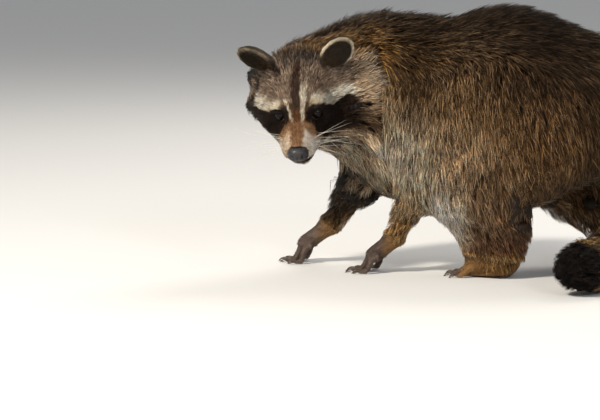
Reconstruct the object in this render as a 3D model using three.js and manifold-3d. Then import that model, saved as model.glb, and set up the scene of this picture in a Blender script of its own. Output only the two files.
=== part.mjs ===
// A raccoon standing on a level floor, life size, head turned to its left and tail curled forward
// along the same side.
// Millimetres. +Z is up, -X is towards the animal's front and -Y is its left.
// The solids follow the outline of the coat, out to the tips of the hair.
import * as THREE from "three";
import { mergeVertices } from "three/addons/utils/BufferGeometryUtils.js";
import Module from "manifold-3d";

const wasm = await Module();
wasm.setup();

const gap = 0.3; // thin cut between neighbouring pieces
const footLevel = 0; // the floor
const far = 700; // larger than the animal, for the blocks that cut it
const welds = [0.01, 0.02, 0.04, 0.08, 0.15, 0.3]; // steps of the grid that vertices sit on, finest first

const vec = (x, y, z) => new THREE.Vector3(x, y, z);
const colour = {
  coat: 0x6b5640, pale: 0xb9ab90, dark: 0x2b211b, paw: 0x6d5645, eye: 0x0b0908, nose: 0x17161a,
};

// ---------------------------------------------------------------- head: place and turn
const head = { eyesAt: vec(-113, -107.5, 168), turn: 102.5, nod: 27, tilt: 3.5 };
const rad = THREE.MathUtils.degToRad;
// In the head's own frame x is its left, y is up, z is forward and the origin is a little above the eyes.
const facingFront = new THREE.Matrix4().makeBasis(vec(0, -1, 0), vec(0, 0, 1), vec(-1, 0, 0));
const headFrame = new THREE.Matrix4()
  .makeTranslation(head.eyesAt)
  .multiply(new THREE.Matrix4().makeRotationZ(rad(head.turn)))
  .multiply(facingFront)
  .multiply(new THREE.Matrix4().makeRotationX(rad(head.nod)))
  .multiply(new THREE.Matrix4().makeRotationZ(rad(head.tilt)));
const intoHead = headFrame.clone().invert();

// ---------------------------------------------------------------- flesh as rounded lengths
// A length runs from a to b with radius ra to rb. `wide` widens it across its frame's side axis.
const length = (a, ra, b, rb, wide = 1) => ({ a, ra, b, rb, wide });
const ball = (a, r, wide = 1) => length(a, r, a, r, wide);

function distanceTo(piece, p, side) {
  const q = p.clone();
  q[side] /= piece.wide;
  const a = piece.a.clone();
  const b = piece.b.clone();
  a[side] /= piece.wide;
  b[side] /= piece.wide;
  const along = b.clone().sub(a);
  const size = along.lengthSq();
  const t = size > 0 ? THREE.MathUtils.clamp(q.clone().sub(a).dot(along) / size, 0, 1) : 0;
  const reach = q.distanceTo(a.addScaledVector(along, t)) - THREE.MathUtils.lerp(piece.ra, piece.rb, t);
  return reach * Math.min(1, piece.wide);
}

// Two distances joined with a soft fillet of about `fillet` millimetres.
function soften(d1, d2, fillet) {
  const h = Math.max(fillet - Math.abs(d1 - d2), 0);
  return Math.min(d1, d2) - (h * h) / (4 * fillet);
}

const massOf = (pieces, fillet, side) => (p) =>
  pieces.reduce((d, piece) => soften(d, distanceTo(piece, p, side), fillet), 1e3);

const trunk = massOf([
  length(vec(-38, 0, 178), 70, vec(25, 0, 165), 94, 0.79), // chest
  length(vec(25, 0, 165), 94, vec(85, 0, 169), 101, 0.81), // belly under the arched back
  length(vec(85, 0, 169), 101, vec(148, 0, 171), 80, 0.88), // rump
  length(vec(-52, 0, 214), 40, vec(-10, 0, 208), 42, 0.9), // withers
  length(vec(-62, -2, 134), 36, vec(-30, 0, 116), 42, 0.9), // brisket
], 22, "y");

const neck = massOf([
  length(vec(-50, -2, 198), 54, vec(-90, -16, 192), 51),
  length(vec(-90, -16, 192), 51, vec(-112, -42, 192), 45),
], 20, "y");

const mirrored = (make) => [make(1), make(-1)];
const skull = massOf([
  length(vec(0, 0, -56), 41, vec(0, -2, -26), 29, 1.25), // braincase, sloping down to the brow
  ball(vec(0, 3, -15), 16, 1.7), // forehead
  ...mirrored((s) => ball(vec(s * 19, 10, -9), 9)), // brows
  ...mirrored((s) => ball(vec(s * 25, -13, -14), 15)), // cheekbones
  length(vec(30, -15, -22), 20, vec(52, -16, -42), 21), // left cheek ruff, bunched by the turn of the neck
  length(vec(-28, -15, -22), 18, vec(-38, -14, -40), 18), // right cheek ruff, stretched by it
  length(vec(0, -28, -44), 38, vec(0, -30, -12), 20, 1.2), // throat
], 8, "x");
const snout = massOf([
  length(vec(0, -9, -4), 16.5, vec(0, -19, 41), 10.5), // bridge
  ...mirrored((s) => length(vec(s * 11, -20, 8), 13, vec(s * 7.5, -25, 36), 9)), // lips and whisker pads
  length(vec(0, -29, -8), 18, vec(1.5, -36.5, 30), 7, 1.5), // chin
], 6, "x");

function headMass(p) {
  const q = p.clone().applyMatrix4(intoHead);
  return soften(skull(q), snout(q), 9);
}

const limbs = {
  fore_left: {
    upper: [vec(-34, -32, 172), 42, vec(12, -53, 108), 34],
    lower: [vec(8, -52, 102), 28, vec(-25, -46, 42), 11.5, 0.95],
    palm: [vec(-26, -46, 36), 8.5, vec(-48, -46, 18), 9],
  },
  fore_right: {
    upper: [vec(-60, 36, 172), 40, vec(-68, 42, 108), 31],
    lower: [vec(-70, 40, 104), 28, vec(-110, 22, 44), 13, 0.95],
    palm: [vec(-112, 21, 40), 8.5, vec(-138, 16, 20), 9],
  },
  hind_left: {
    upper: [vec(122, -44, 150), 60, vec(56, -62, 90), 41],
    lower: [vec(60, -62, 84), 43, vec(79, -56, 44), 38, 0.78],
    palm: [vec(98, -55, 12), 11, vec(57, -50, 8), 9.8],
  },
  hind_right: {
    upper: [vec(150, 44, 150), 60, vec(134, 60, 88), 38],
    lower: [vec(140, 60, 80), 35, vec(186, 54, 46), 30, 0.85],
    palm: [vec(205, 52, 12), 11, vec(163, 46, 8), 9.8],
  },
};
const limbMass = Object.values(limbs).map(({ upper, lower, palm }) => {
  const leg = massOf([length(...upper, 0.85), length(...lower)], 12, "y");
  const paw = massOf([length(...palm, 1.9)], 1, "y");
  return (p) => soften(leg(p), paw(p), 9);
});

function wholeMass(p) {
  let d = soften(trunk(p), neck(p), 40);
  d = soften(d, headMass(p), 16);
  return limbMass.reduce((sum, limb) => soften(sum, limb(p), 15), d);
}

// ---------------------------------------------------------------- from a mass to a closed mesh
// One vertex for each grid cell that the surface crosses, then moved onto the surface itself.
function surfaceOf(mass, low, high, cell) {
  const count = ["x", "y", "z"].map((k) => Math.ceil((high[k] - low[k]) / cell) + 1);
  const [nx, ny, nz] = count;
  const place = (i, j, k) => vec(low.x + i * cell, low.y + j * cell, low.z + k * cell);
  const index = (i, j, k) => (k * ny + j) * nx + i;
  const value = new Float64Array(nx * ny * nz);
  for (let k = 0; k < nz; k++)
    for (let j = 0; j < ny; j++)
      for (let i = 0; i < nx; i++) {
        const border = !i || !j || !k || i === nx - 1 || j === ny - 1 || k === nz - 1;
        value[index(i, j, k)] = border ? cell : mass(place(i, j, k)) || 1e-6;
      }
  const corners = [0, 1, 2, 3, 4, 5, 6, 7].map((n) => [n & 1, (n >> 1) & 1, n >> 2]);
  const edges = corners.flatMap((a, n) =>
    [1, 2, 4].filter((bit) => !(n & bit)).map((bit) => [n, n | bit]),
  );
  const vertexOf = new Int32Array(value.length).fill(-1);
  const positions = [];
  for (let k = 0; k < nz - 1; k++)
    for (let j = 0; j < ny - 1; j++)
      for (let i = 0; i < nx - 1; i++) {
        const v = corners.map(([a, b, c]) => value[index(i + a, j + b, k + c)]);
        const crossed = edges.filter(([m, n]) => v[m] < 0 !== v[n] < 0);
        if (!crossed.length) continue;
        const centre = vec(0, 0, 0);
        for (const [m, n] of crossed) {
          const t = v[m] / (v[m] - v[n]);
          corners[m].forEach((a, axis) => {
            centre.setComponent(axis, centre.getComponent(axis) + a + t * (corners[n][axis] - a));
          });
        }
        centre.divideScalar(crossed.length).multiplyScalar(cell).add(place(i, j, k));
        vertexOf[index(i, j, k)] = positions.length / 3;
        positions.push(...ontoSurface(mass, centre, cell).toArray());
      }
  const vertex = (n) => vec(...positions.slice(3 * n, 3 * n + 3));
  const apart = (m, n) => vertex(m).distanceTo(vertex(n));
  const faces = [];
  const around = [[0, 1, 2], [1, 2, 0], [2, 0, 1]];
  for (let k = 0; k < nz - 1; k++)
    for (let j = 0; j < ny - 1; j++)
      for (let i = 0; i < nx - 1; i++)
        for (const [axis, u, w] of around) {
          const at = [i, j, k];
          if (!at[u] || !at[w]) continue;
          const next = [...at];
          next[axis] += 1;
          const inside = value[index(...at)] < 0;
          if (inside === value[index(...next)] < 0) continue;
          const ring = [[0, 0], [-1, 0], [-1, -1], [0, -1]].map(([du, dw]) => {
            const cellAt = [...at];
            cellAt[u] += du;
            cellAt[w] += dw;
            return vertexOf[index(...cellAt)];
          });
          const [a, b, c, d] = inside ? ring : ring.reverse();
          faces.push(...(apart(a, c) < apart(b, d) ? [a, b, c, a, c, d] : [b, c, d, b, d, a]));
        }
  return { positions: new Float32Array(positions), faces: new Uint32Array(faces) };
}

function ontoSurface(mass, start, cell) {
  const p = start.clone();
  const h = 0.5;
  for (let step = 0; step < 3; step++) {
    const d = mass(p);
    const slope = vec(0, 0, 0);
    for (const axis of ["x", "y", "z"]) {
      const ahead = p.clone();
      ahead[axis] += h;
      slope[axis] = (mass(ahead) - d) / h;
    }
    const steep = Math.max(slope.lengthSq(), 0.2);
    p.addScaledVector(slope, -THREE.MathUtils.clamp(d / steep, -cell / 2, cell / 2));
  }
  return p.distanceTo(start) < cell / 2 ? p : start;
}

// ---------------------------------------------------------------- joining and cutting
const solidFrom = (positions, faces) =>
  new wasm.Manifold(new wasm.Mesh({ numProp: 3, vertProperties: positions, triVerts: faces }));

function solidOf(geometry) {
  const bare = new THREE.BufferGeometry().setAttribute("position", geometry.getAttribute("position"));
  if (geometry.index) bare.setIndex(geometry.index);
  const merged = mergeVertices(bare, 1e-3);
  return solidFrom(merged.attributes.position.array, new Uint32Array(merged.index.array));
}

// A mesh with its vertices on a grid of step `weld`, without the faces that this closes up or folds flat.
function welded(mesh, weld) {
  const snapped = new Float32Array(mesh.vertProperties).map((v) => Math.round(v / weld) * weld);
  const loose = new THREE.BufferGeometry()
    .setAttribute("position", new THREE.BufferAttribute(snapped, 3))
    .setIndex(new THREE.BufferAttribute(new Uint32Array(mesh.triVerts), 1));
  const merged = mergeVertices(loose, weld / 4);
  const faces = new Map();
  for (let n = 0; n < merged.index.count; n += 3) {
    const face = [...merged.index.array.slice(n, n + 3)];
    const key = [...face].sort((p, q) => p - q).join();
    if (new Set(face).size < 3) continue;
    if (!faces.delete(key)) faces.set(key, face);
  }
  return merged.setIndex([...faces.values()].flat());
}

// How many edges have some other number of faces than two.
function looseEdges(faces) {
  const uses = new Map();
  for (let n = 0; n < faces.length; n++) {
    const next = n % 3 === 2 ? n - 2 : n + 1;
    const key = [faces[n], faces[next]].sort((p, q) => p - q).join();
    uses.set(key, (uses.get(key) || 0) + 1);
  }
  return [...uses.values()].filter((count) => count !== 2).length;
}

// The largest body of a solid, with the finest weld that leaves it closed.
function geometryOf(solid) {
  const largest = solid.decompose().reduce((a, b) => (a.volume() > b.volume() ? a : b));
  const tries = welds.map((weld) => welded(largest.getMesh(), weld));
  return tries.find((geometry) => !looseEdges(geometry.index.array)) || tries[0];
}

// Everything on one side of a plane through `at`: the side that `facing` points to.
const halfSpace = (at, facing) => (grow) => {
  const way = facing.clone().normalize();
  const block = new THREE.BoxGeometry(2 * far, 2 * far, 2 * far).translate(0, 0, far - grow);
  block.applyQuaternion(new THREE.Quaternion().setFromUnitVectors(vec(0, 0, 1), way));
  return solidOf(block.translate(at.x, at.y, at.z));
};
// A block between two corners of a frame.
const blockIn = (frame, low, high) => (grow) => {
  const size = high.clone().sub(low).addScalar(2 * grow);
  const middle = high.clone().add(low).divideScalar(2);
  const block = new THREE.BoxGeometry(size.x, size.y, size.z).translate(middle.x, middle.y, middle.z);
  return solidOf(block.applyMatrix4(frame));
};
const both = (...cutters) => (grow) => cutters.map((c) => c(grow)).reduce((a, b) => a.intersect(b));

const keepIn = (solid, ...cutters) => cutters.reduce((s, c) => s.intersect(c(-gap / 2)), solid);
const cutAway = (solid, ...cutters) => cutters.reduce((s, c) => s.subtract(c(gap / 2)), solid);

// ---------------------------------------------------------------- tubes: toes, claws, tail
// A closed tube along a curve, with a radius for each share t of its length and its underside laid flat.
function taperedTube(curve, radiusAt, rings, sides, from = 0, to = 1) {
  const up = vec(0, 0, 1);
  const positions = [];
  for (let n = 0; n <= rings; n++) {
    const t = THREE.MathUtils.lerp(from, to, n / rings);
    const centre = curve.getPointAt(t);
    const side = curve.getTangentAt(t).cross(up).normalize();
    const rise = side.clone().cross(curve.getTangentAt(t)).normalize();
    for (let m = 0; m < sides; m++) {
      const angle = (2 * Math.PI * (m + 0.5)) / sides - Math.PI / 2;
      const p = centre.clone().addScaledVector(side, radiusAt(t) * Math.cos(angle));
      positions.push(p.addScaledVector(rise, radiusAt(t) * Math.sin(angle)));
    }
  }
  const ends = [curve.getPointAt(from), curve.getPointAt(to)];
  const faces = [];
  for (let m = 0; m < sides; m++) {
    const next = (m + 1) % sides;
    for (let n = 0; n < rings; n++) {
      const [a, b] = [n * sides + m, n * sides + next];
      faces.push(a, b + sides, b, a, a + sides, b + sides);
    }
    faces.push(positions.length, m, next);
    faces.push(positions.length + 1, rings * sides + next, rings * sides + m);
  }
  const all = [...positions, ...ends].map((p) => [p.x, p.y, Math.max(p.z, footLevel)]);
  return solidFrom(new Float32Array(all.flat()), new Uint32Array(faces));
}

// Five toes side by side, the thumb first: share of the full reach, turn outwards, set back.
const digits = [
  { size: 0.72, turn: 24, back: 5 },
  { size: 0.92, turn: 9, back: 1.5 },
  { size: 1, turn: 1, back: 0 },
  { size: 0.95, turn: -8, back: 1 },
  { size: 0.8, turn: -22, back: 5 },
];
// Toes and claws in front of the knuckles at `at`, pointing along `heading`; inner is the thumb's side.
function toes({ at, heading, inner, reach, thick }) {
  const up = vec(0, 0, 1);
  const forward = vec(Math.cos(rad(heading)), Math.sin(rad(heading)), 0);
  const across = up.clone().cross(forward).multiplyScalar(inner);
  return digits.flatMap(({ size, turn, back }, n) => {
    const way = forward.clone().applyAxisAngle(up, rad(turn * inner));
    const root = at.clone().addScaledVector(across, (2 - n) * 1.85 * thick).addScaledVector(forward, -back);
    const on = (ahead, height) => root.clone().addScaledVector(way, ahead).setZ(height);
    const tip = reach * size;
    const bend = Math.max(1.9 * thick, at.z * 0.9);
    const toe = new THREE.CatmullRomCurve3([
      on(0, at.z * 0.9), on(tip * 0.3, bend), on(tip * 0.6, 0.62 * thick), on(tip, 0.5 * thick),
    ]);
    const nail = new THREE.CatmullRomCurve3([
      on(tip - thick, 0.9 * thick), on(tip + 0.9 * thick, 0.8 * thick), on(tip + 1.8 * thick, 0.3),
    ]);
    const width = (t) => thick * (t > 0.95 ? 0.62 : 1.06 - 0.12 * t);
    return [taperedTube(toe, width, 4, 5), taperedTube(nail, (t) => thick * (0.45 - 0.33 * t), 1, 4)];
  });
}

// ---------------------------------------------------------------- tail
const tailLine = new THREE.CatmullRomCurve3([
  vec(186, -4, 160), vec(212, -20, 128), vec(221, -52, 76), vec(216, -92, 38),
  vec(203, -134, 29), vec(186, -170, 27), vec(172, -196, 25),
]);
function tailRadius(t) {
  const swell = 24 + 8 * Math.sin(Math.PI * Math.min(1, t * 0.8 + 0.1));
  const blunt = Math.sqrt(Math.max(0.02, 1 - ((Math.max(t, 0.86) - 0.86) / 0.14) ** 2));
  return swell * blunt;
}
const tailPieces = 5;

// ---------------------------------------------------------------- ears, eyes and nose
const ear = { wide: 17, tall: 22, deep: 11, wall: 3.8 };
const earSeat = { "1": vec(32, 30, -37), "-1": vec(-29, 30, -37) };
const earSplay = { "1": 34, "-1": 50 }; // the right ear is let down further
const earTurn = { "1": 18, "-1": 32 };
function earSolid(side) {
  const bowl = [];
  const steps = 4;
  for (let n = 0; n <= steps; n++) {
    const a = (n / steps) * 0.5 * Math.PI;
    bowl.push(new THREE.Vector2(Math.sin(a), -Math.cos(a)));
  }
  for (let n = steps; n >= 0; n--) {
    const a = (n / steps) * 0.5 * Math.PI;
    const wall = 1 - ear.wall / ear.wide;
    bowl.push(new THREE.Vector2(Math.sin(a) * wall, 0.12 - Math.cos(a) * 0.72));
  }
  bowl[0].x = 0;
  bowl[bowl.length - 1].x = 0;
  const shape = new THREE.LatheGeometry(bowl, 12);
  shape.rotateX(Math.PI / 2).scale(ear.wide, ear.tall, ear.deep);
  const place = new THREE.Matrix4()
    .multiply(headFrame)
    .multiply(new THREE.Matrix4().makeTranslation(earSeat[side]))
    .multiply(new THREE.Matrix4().makeRotationZ(rad(-side * earSplay[side])))
    .multiply(new THREE.Matrix4().makeRotationY(rad(side * earTurn[side])))
    .multiply(new THREE.Matrix4().makeTranslation(0, ear.tall * 0.72, 0));
  return solidOf(shape.applyMatrix4(place));
}
const eye = { radius: 7.6, apart: 18.2, up: -3.6, forward: -2.2 };
const eyeSolid = (side, grow = 0) => {
  const globe = new THREE.SphereGeometry(eye.radius + grow, 10, 7);
  return solidOf(globe.applyMatrix4(headFrame.clone().multiply(
    new THREE.Matrix4().makeTranslation(side * eye.apart, eye.up, eye.forward))));
};
const nose = { half: vec(10, 7.5, 8), at: vec(0, -20.5, 47.5) };
function noseSolid(grow = 0) {
  const pad = new THREE.SphereGeometry(1, 10, 7);
  pad.scale(nose.half.x + grow, nose.half.y + grow, nose.half.z + grow);
  const place = headFrame.clone().multiply(new THREE.Matrix4().makeTranslation(nose.at));
  return solidOf(pad.applyMatrix4(place));
}

// ---------------------------------------------------------------- where the body divides
const aboveFloor = (solid) => solid.intersect(halfSpace(vec(0, 0, footLevel), vec(0, 0, 1))(0));
const headBlock = blockIn(headFrame, vec(-130, -58, -64), vec(77, 110, 110));
const mouthFrame = headFrame.clone()
  .multiply(new THREE.Matrix4().makeTranslation(0, -29, 20))
  .multiply(new THREE.Matrix4().makeRotationX(rad(4)));
const jawBlock = blockIn(mouthFrame, vec(-60, -90, -34), vec(60, 0, 80));
const muzzleBlock = blockIn(mouthFrame, vec(-60, 0, -6), vec(60, 90, 80));
const between = (fromX, toX) =>
  both(halfSpace(vec(fromX, 0, 0), vec(1, 0, 0)), halfSpace(vec(toX, 0, 0), vec(-1, 0, 0)));
// The side of a limb: -1 for the left, 1 for the right. Its block leans in under the belly, to the middle.
const limbBlock = (side, at, lean, fromX, toX) => both(
  halfSpace(at, vec(0, side, -lean)),
  halfSpace(vec(0, 0, 0), vec(0, side, 0)),
  between(fromX, toX),
);
const limbCut = {
  fore_left: limbBlock(-1, vec(0, -36, 142), 0.49, -110, 24),
  fore_right: limbBlock(1, vec(0, 36, 142), 0.49, -190, 0),
  hind_left: limbBlock(-1, vec(0, -40, 140), 0.36, 25, 190),
  hind_right: limbBlock(1, vec(0, 40, 140), 0.36, 75, 240),
};
const limbCuts = Object.values(limbCut);
const neckCut = halfSpace(vec(-70, -6, 195), vec(-0.85, -0.3, 0.43));

// ---------------------------------------------------------------- the animal, piece by piece
const group = new THREE.Group();
function add(name, solid, hex, roughness = 0.85) {
  const material = new THREE.MeshStandardMaterial({ color: hex, roughness, metalness: 0 });
  const mesh = new THREE.Mesh(geometryOf(solid), material);
  mesh.name = name;
  group.add(mesh);
}

// The flesh between two corners, from whichever start of the grid leaves the fewest loose edges.
function fleshIn(low, high, cell, swell = 0) {
  const tries = [0, 0.2, 0.4, 0.6, 0.8].map((share) =>
    surfaceOf((p) => wholeMass(p) - swell, low.clone().subScalar(share * cell), high, cell));
  const counts = tries.map(({ faces }) => looseEdges(faces));
  const { positions, faces } = tries[counts.indexOf(Math.min(...counts))];
  return solidFrom(positions, faces);
}

// trunk and neck, from one mesh that the upper legs are cut from too
const bodyCell = 23;
const body = fleshIn(vec(-220, -130, 30), vec(260, 130, 300), bodyCell);
add("trunk", cutAway(body, headBlock, neckCut, ...limbCuts), colour.coat);
add("neck", cutAway(keepIn(body, neckCut), headBlock, ...limbCuts), colour.coat);

// head, with the sockets that the eyes and the nose pad fill
const headGrid = [vec(-220, -180, 70), vec(-20, 0, 290), 13.5];
const skullSolid = cutAway(keepIn(fleshIn(...headGrid), headBlock), jawBlock, muzzleBlock);
const sockets = mirrored((side) => eyeSolid(side, gap)).concat(noseSolid(gap));
const withSockets = (solid) => sockets.reduce((s, socket) => s.subtract(socket), solid);
add("head", withSockets(skullSolid), colour.pale);
const fineFace = fleshIn(vec(-160, -180, 90), vec(-70, -80, 180), 7.6);
add("muzzle", withSockets(keepIn(fineFace, muzzleBlock)), colour.pale);
add("lower_jaw", withSockets(keepIn(fineFace, jawBlock)), colour.pale);
add("nose", noseSolid(), colour.nose, 0.35);
const swollenHead = fleshIn(...headGrid, 0.4);
for (const [name, side] of [["left", 1], ["right", -1]]) {
  add("eye_" + name, eyeSolid(side), colour.eye, 0.05);
  add("ear_" + name, earSolid(side).subtract(swollenHead), colour.dark);
}

// legs, each in three pieces, with the toes and claws on the paw
const limbGrid = {
  fore_left: [vec(-120, -130, -20), vec(70, 10, 190)],
  fore_right: [vec(-190, -10, -20), vec(20, 120, 190)],
  hind_left: [vec(0, -150, -20), vec(210, 10, 230)],
  hind_right: [vec(40, -10, -20), vec(260, 150, 230)],
};
const limbSplit = {
  fore_left: [[vec(10, -50, 70), vec(0.2, 0, 1)], [vec(-26, -46, 38), vec(0.6, 0, 1)]],
  fore_right: [[vec(-76, 44, 72), vec(0.2, 0, 1)], [vec(-111, 21, 42), vec(0.8, 0, 1)]],
  hind_left: [[vec(66, -60, 64), vec(0.2, 0, 1)], [vec(90, -55, 21), vec(0.1, 0, 1)]],
  hind_right: [[vec(150, 60, 62), vec(0.2, 0, 1)], [vec(190, 52, 22), vec(0.1, 0, 1)]],
};
const pawCell = { fore_left: 8.5, fore_right: 8.5, hind_left: 13, hind_right: 13 };
const toeRow = {
  fore_left: { at: vec(-45, -46, 18), heading: 180, inner: -1, reach: 26, thick: 4.2 },
  fore_right: { at: vec(-134, 17, 20), heading: 184, inner: 1, reach: 26, thick: 4.2 },
  hind_left: { at: vec(56, -50, 10), heading: 177, inner: -1, reach: 22, thick: 4.5 },
  hind_right: { at: vec(163, 46, 10), heading: 183, inner: 1, reach: 22, thick: 4.5 },
};
for (const [name, [low, high]] of Object.entries(limbGrid)) {
  const [knee, ankle] = limbSplit[name].map(([at, up]) =>
    [halfSpace(at, up), halfSpace(at, up.clone().negate())]);
  const legOf = (flesh, ...ends) => cutAway(keepIn(flesh, limbCut[name], ...ends), headBlock);
  add(name + "_upper_leg", legOf(body, knee[0]), colour.coat);
  add(name + "_lower_leg", legOf(fleshIn(low, high, 14), knee[1], ankle[0]), colour.coat);
  const paw = legOf(fleshIn(low, high, pawCell[name]), ankle[1]);
  add(name + "_paw", aboveFloor(toes(toeRow[name]).reduce((sum, toe) => sum.add(toe), paw)), colour.paw);
}

// tail, in lengths that meet end to end
const swollenBody = fleshIn(vec(-220, -130, 30), vec(260, 130, 300), bodyCell, 0.4);
const tailGap = gap / tailLine.getLength();
for (let n = 0; n < tailPieces; n++) {
  const [from, to] = [n / tailPieces, (n + 1) / tailPieces - (n < tailPieces - 1 ? tailGap : 0)];
  const length = taperedTube(tailLine, tailRadius, n === tailPieces - 1 ? 5 : 3, 11, from, to);
  add("tail_" + (n + 1), n > 1 ? length : length.subtract(swollenBody), colour.coat);
}

// The origin is on the floor, under the middle of the whole animal.
const extent = new THREE.Box3().setFromObject(group);
const middle = extent.getCenter(vec(0, 0, 0));
group.position.set(-middle.x, -middle.y, -extent.min.z);

export default group;
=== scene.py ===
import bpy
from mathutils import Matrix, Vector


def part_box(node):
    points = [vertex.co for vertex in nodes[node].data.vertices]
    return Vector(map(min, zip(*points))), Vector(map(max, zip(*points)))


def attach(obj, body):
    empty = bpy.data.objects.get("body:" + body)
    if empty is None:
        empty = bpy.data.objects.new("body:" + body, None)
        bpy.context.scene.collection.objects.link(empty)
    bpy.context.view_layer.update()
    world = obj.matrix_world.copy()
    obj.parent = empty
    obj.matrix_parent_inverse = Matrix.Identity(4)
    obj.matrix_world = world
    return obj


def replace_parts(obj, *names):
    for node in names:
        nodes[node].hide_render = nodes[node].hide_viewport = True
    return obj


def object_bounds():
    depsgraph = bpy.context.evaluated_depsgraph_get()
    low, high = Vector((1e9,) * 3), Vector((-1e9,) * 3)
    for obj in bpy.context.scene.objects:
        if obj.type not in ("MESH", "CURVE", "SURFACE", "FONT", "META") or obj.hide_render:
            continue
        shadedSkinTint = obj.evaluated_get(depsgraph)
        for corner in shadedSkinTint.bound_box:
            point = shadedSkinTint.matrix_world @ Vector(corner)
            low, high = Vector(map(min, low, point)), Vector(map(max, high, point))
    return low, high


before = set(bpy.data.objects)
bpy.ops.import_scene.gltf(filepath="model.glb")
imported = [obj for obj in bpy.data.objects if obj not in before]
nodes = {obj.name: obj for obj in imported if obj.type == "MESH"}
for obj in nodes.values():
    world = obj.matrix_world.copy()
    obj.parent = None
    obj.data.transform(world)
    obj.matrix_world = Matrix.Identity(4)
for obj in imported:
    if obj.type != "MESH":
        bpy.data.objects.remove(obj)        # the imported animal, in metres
cadBox = [list(corner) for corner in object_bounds()]

import math

import bmesh
import bpy
import numpy as np
from mathutils import Matrix, Vector
from mathutils.bvhtree import BVHTree
from mathutils.kdtree import KDTree

mm = 0.001
dice = np.random.default_rng(41)


# small tools for arrays of points
def unit(v):
    v = np.asarray(v, float)
    return v / np.maximum(np.linalg.norm(v, axis=-1, keepdims=True), 1e-12)


def ramp(start, stop, x):      # 0 before start, 1 after stop, smooth between; start may be the larger
    t = np.clip((np.asarray(x, float) - start) / (stop - start), 0, 1)
    return t * t * (3 - 2 * t)


def hump(low, high, soft, x):  # 1 between low and high, with soft ends
    return ramp(low - soft, low + soft, x) * ramp(high + soft, high - soft, x)


def toward(a, b, share):       # rows of a moved towards b
    return a + (np.asarray(b, float) - a) * np.asarray(share, float)[:, None]


def treeOf(points):
    tree = KDTree(len(points))
    for n, p in enumerate(points):
        tree.insert(p, n)
    tree.balance()
    return tree


def across(v, normals):        # v with what points along the normals taken out
    return v - (v * normals).sum(1)[:, None] * normals


# landmarks: the head's own axes from the eyes and nose, and the animal's from the head
def middleOf(name):
    low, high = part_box(name)
    return np.array((low + high) / 2)


eyePlan = dict(radius=6.5, apart=18.2, up=-3.6, forward=-2.2, sunk=1.2)   # mm
nosePlan = dict(half=(10.6, 7.6, 8.2), at=(0.0, -20.5, 47.5))        # mm, from the head's origin
noseDrop, noseAhead = eyePlan["up"] - nosePlan["at"][1], nosePlan["at"][2] - eyePlan["forward"]
eyesMiddle = (middleOf("eye_left") + middleOf("eye_right")) / 2
leftWay = unit(middleOf("eye_left") - middleOf("eye_right"))
toNose = middleOf("nose") - eyesMiddle
toNose = unit(toNose - leftWay * toNose.dot(leftWay))
overNose = np.cross(toNose, leftWay)
noseReach = math.hypot(noseDrop, noseAhead)
foreWay = (noseAhead * toNose + noseDrop * overNose) / noseReach
upWay = (noseAhead * overNose - noseDrop * toNose) / noseReach
headAxes = np.array([leftWay, upWay, foreWay])
headAt = eyesMiddle - (foreWay * eyePlan["forward"] + upWay * eyePlan["up"]) * mm
animalAt = headAt - np.array([-113, -107.5, 168]) * mm


def toHead(p):
    return (p - headAt) @ headAxes.T / mm


def fromHead(q):
    return headAt + np.asarray(q, float) * mm @ headAxes


def toAnimal(p):
    return (p - animalAt) / mm


def fromAnimal(q):
    return animalAt + np.asarray(q, float) * mm


# camera
cameraPlan = dict(azimuth=15, elevation=6, away=3.0, lens=173, ahead=-0.1352, rise=0.0603)
turn, lift = math.radians(cameraPlan["azimuth"]), math.radians(cameraPlan["elevation"])
sightRight = np.array([math.cos(turn), math.sin(turn), 0])
sightUp = np.array([-math.sin(turn) * math.sin(lift), math.cos(turn) * math.sin(lift), math.cos(lift)])
sightBack = np.cross(sightRight, sightUp)
lookAt = animalAt + cameraPlan["ahead"] * sightRight + cameraPlan["rise"] * sightUp
camera = bpy.data.objects.new("camera", bpy.data.cameras.new("camera"))
camera.data.lens = cameraPlan["lens"]
camera.data.clip_start, camera.data.clip_end = 0.05, 60
rows = np.array([sightRight, sightUp, sightBack, lookAt + cameraPlan["away"] * sightBack]).T
camera.matrix_world = Matrix([*map(list, rows), [0, 0, 0, 1]])
bpy.context.scene.collection.objects.link(camera)
bpy.context.scene.camera = camera
print("camera placed")


# materials
class Tap:                     # a shader socket that takes part in sums
    def __init__(self, finish, socket):
        self.finish, self.socket = finish, socket

    def sum(self, operation, first, second):
        return self.finish.node("Math", {"operation": operation}, {0: first, 1: second})

    def __add__(self, other):
        return self.sum("ADD", self, other)

    def __rsub__(self, other):
        return self.sum("SUBTRACT", other, self)

    def __mul__(self, other):
        return self.sum("MULTIPLY", self, other)

    __radd__ = __add__


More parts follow.
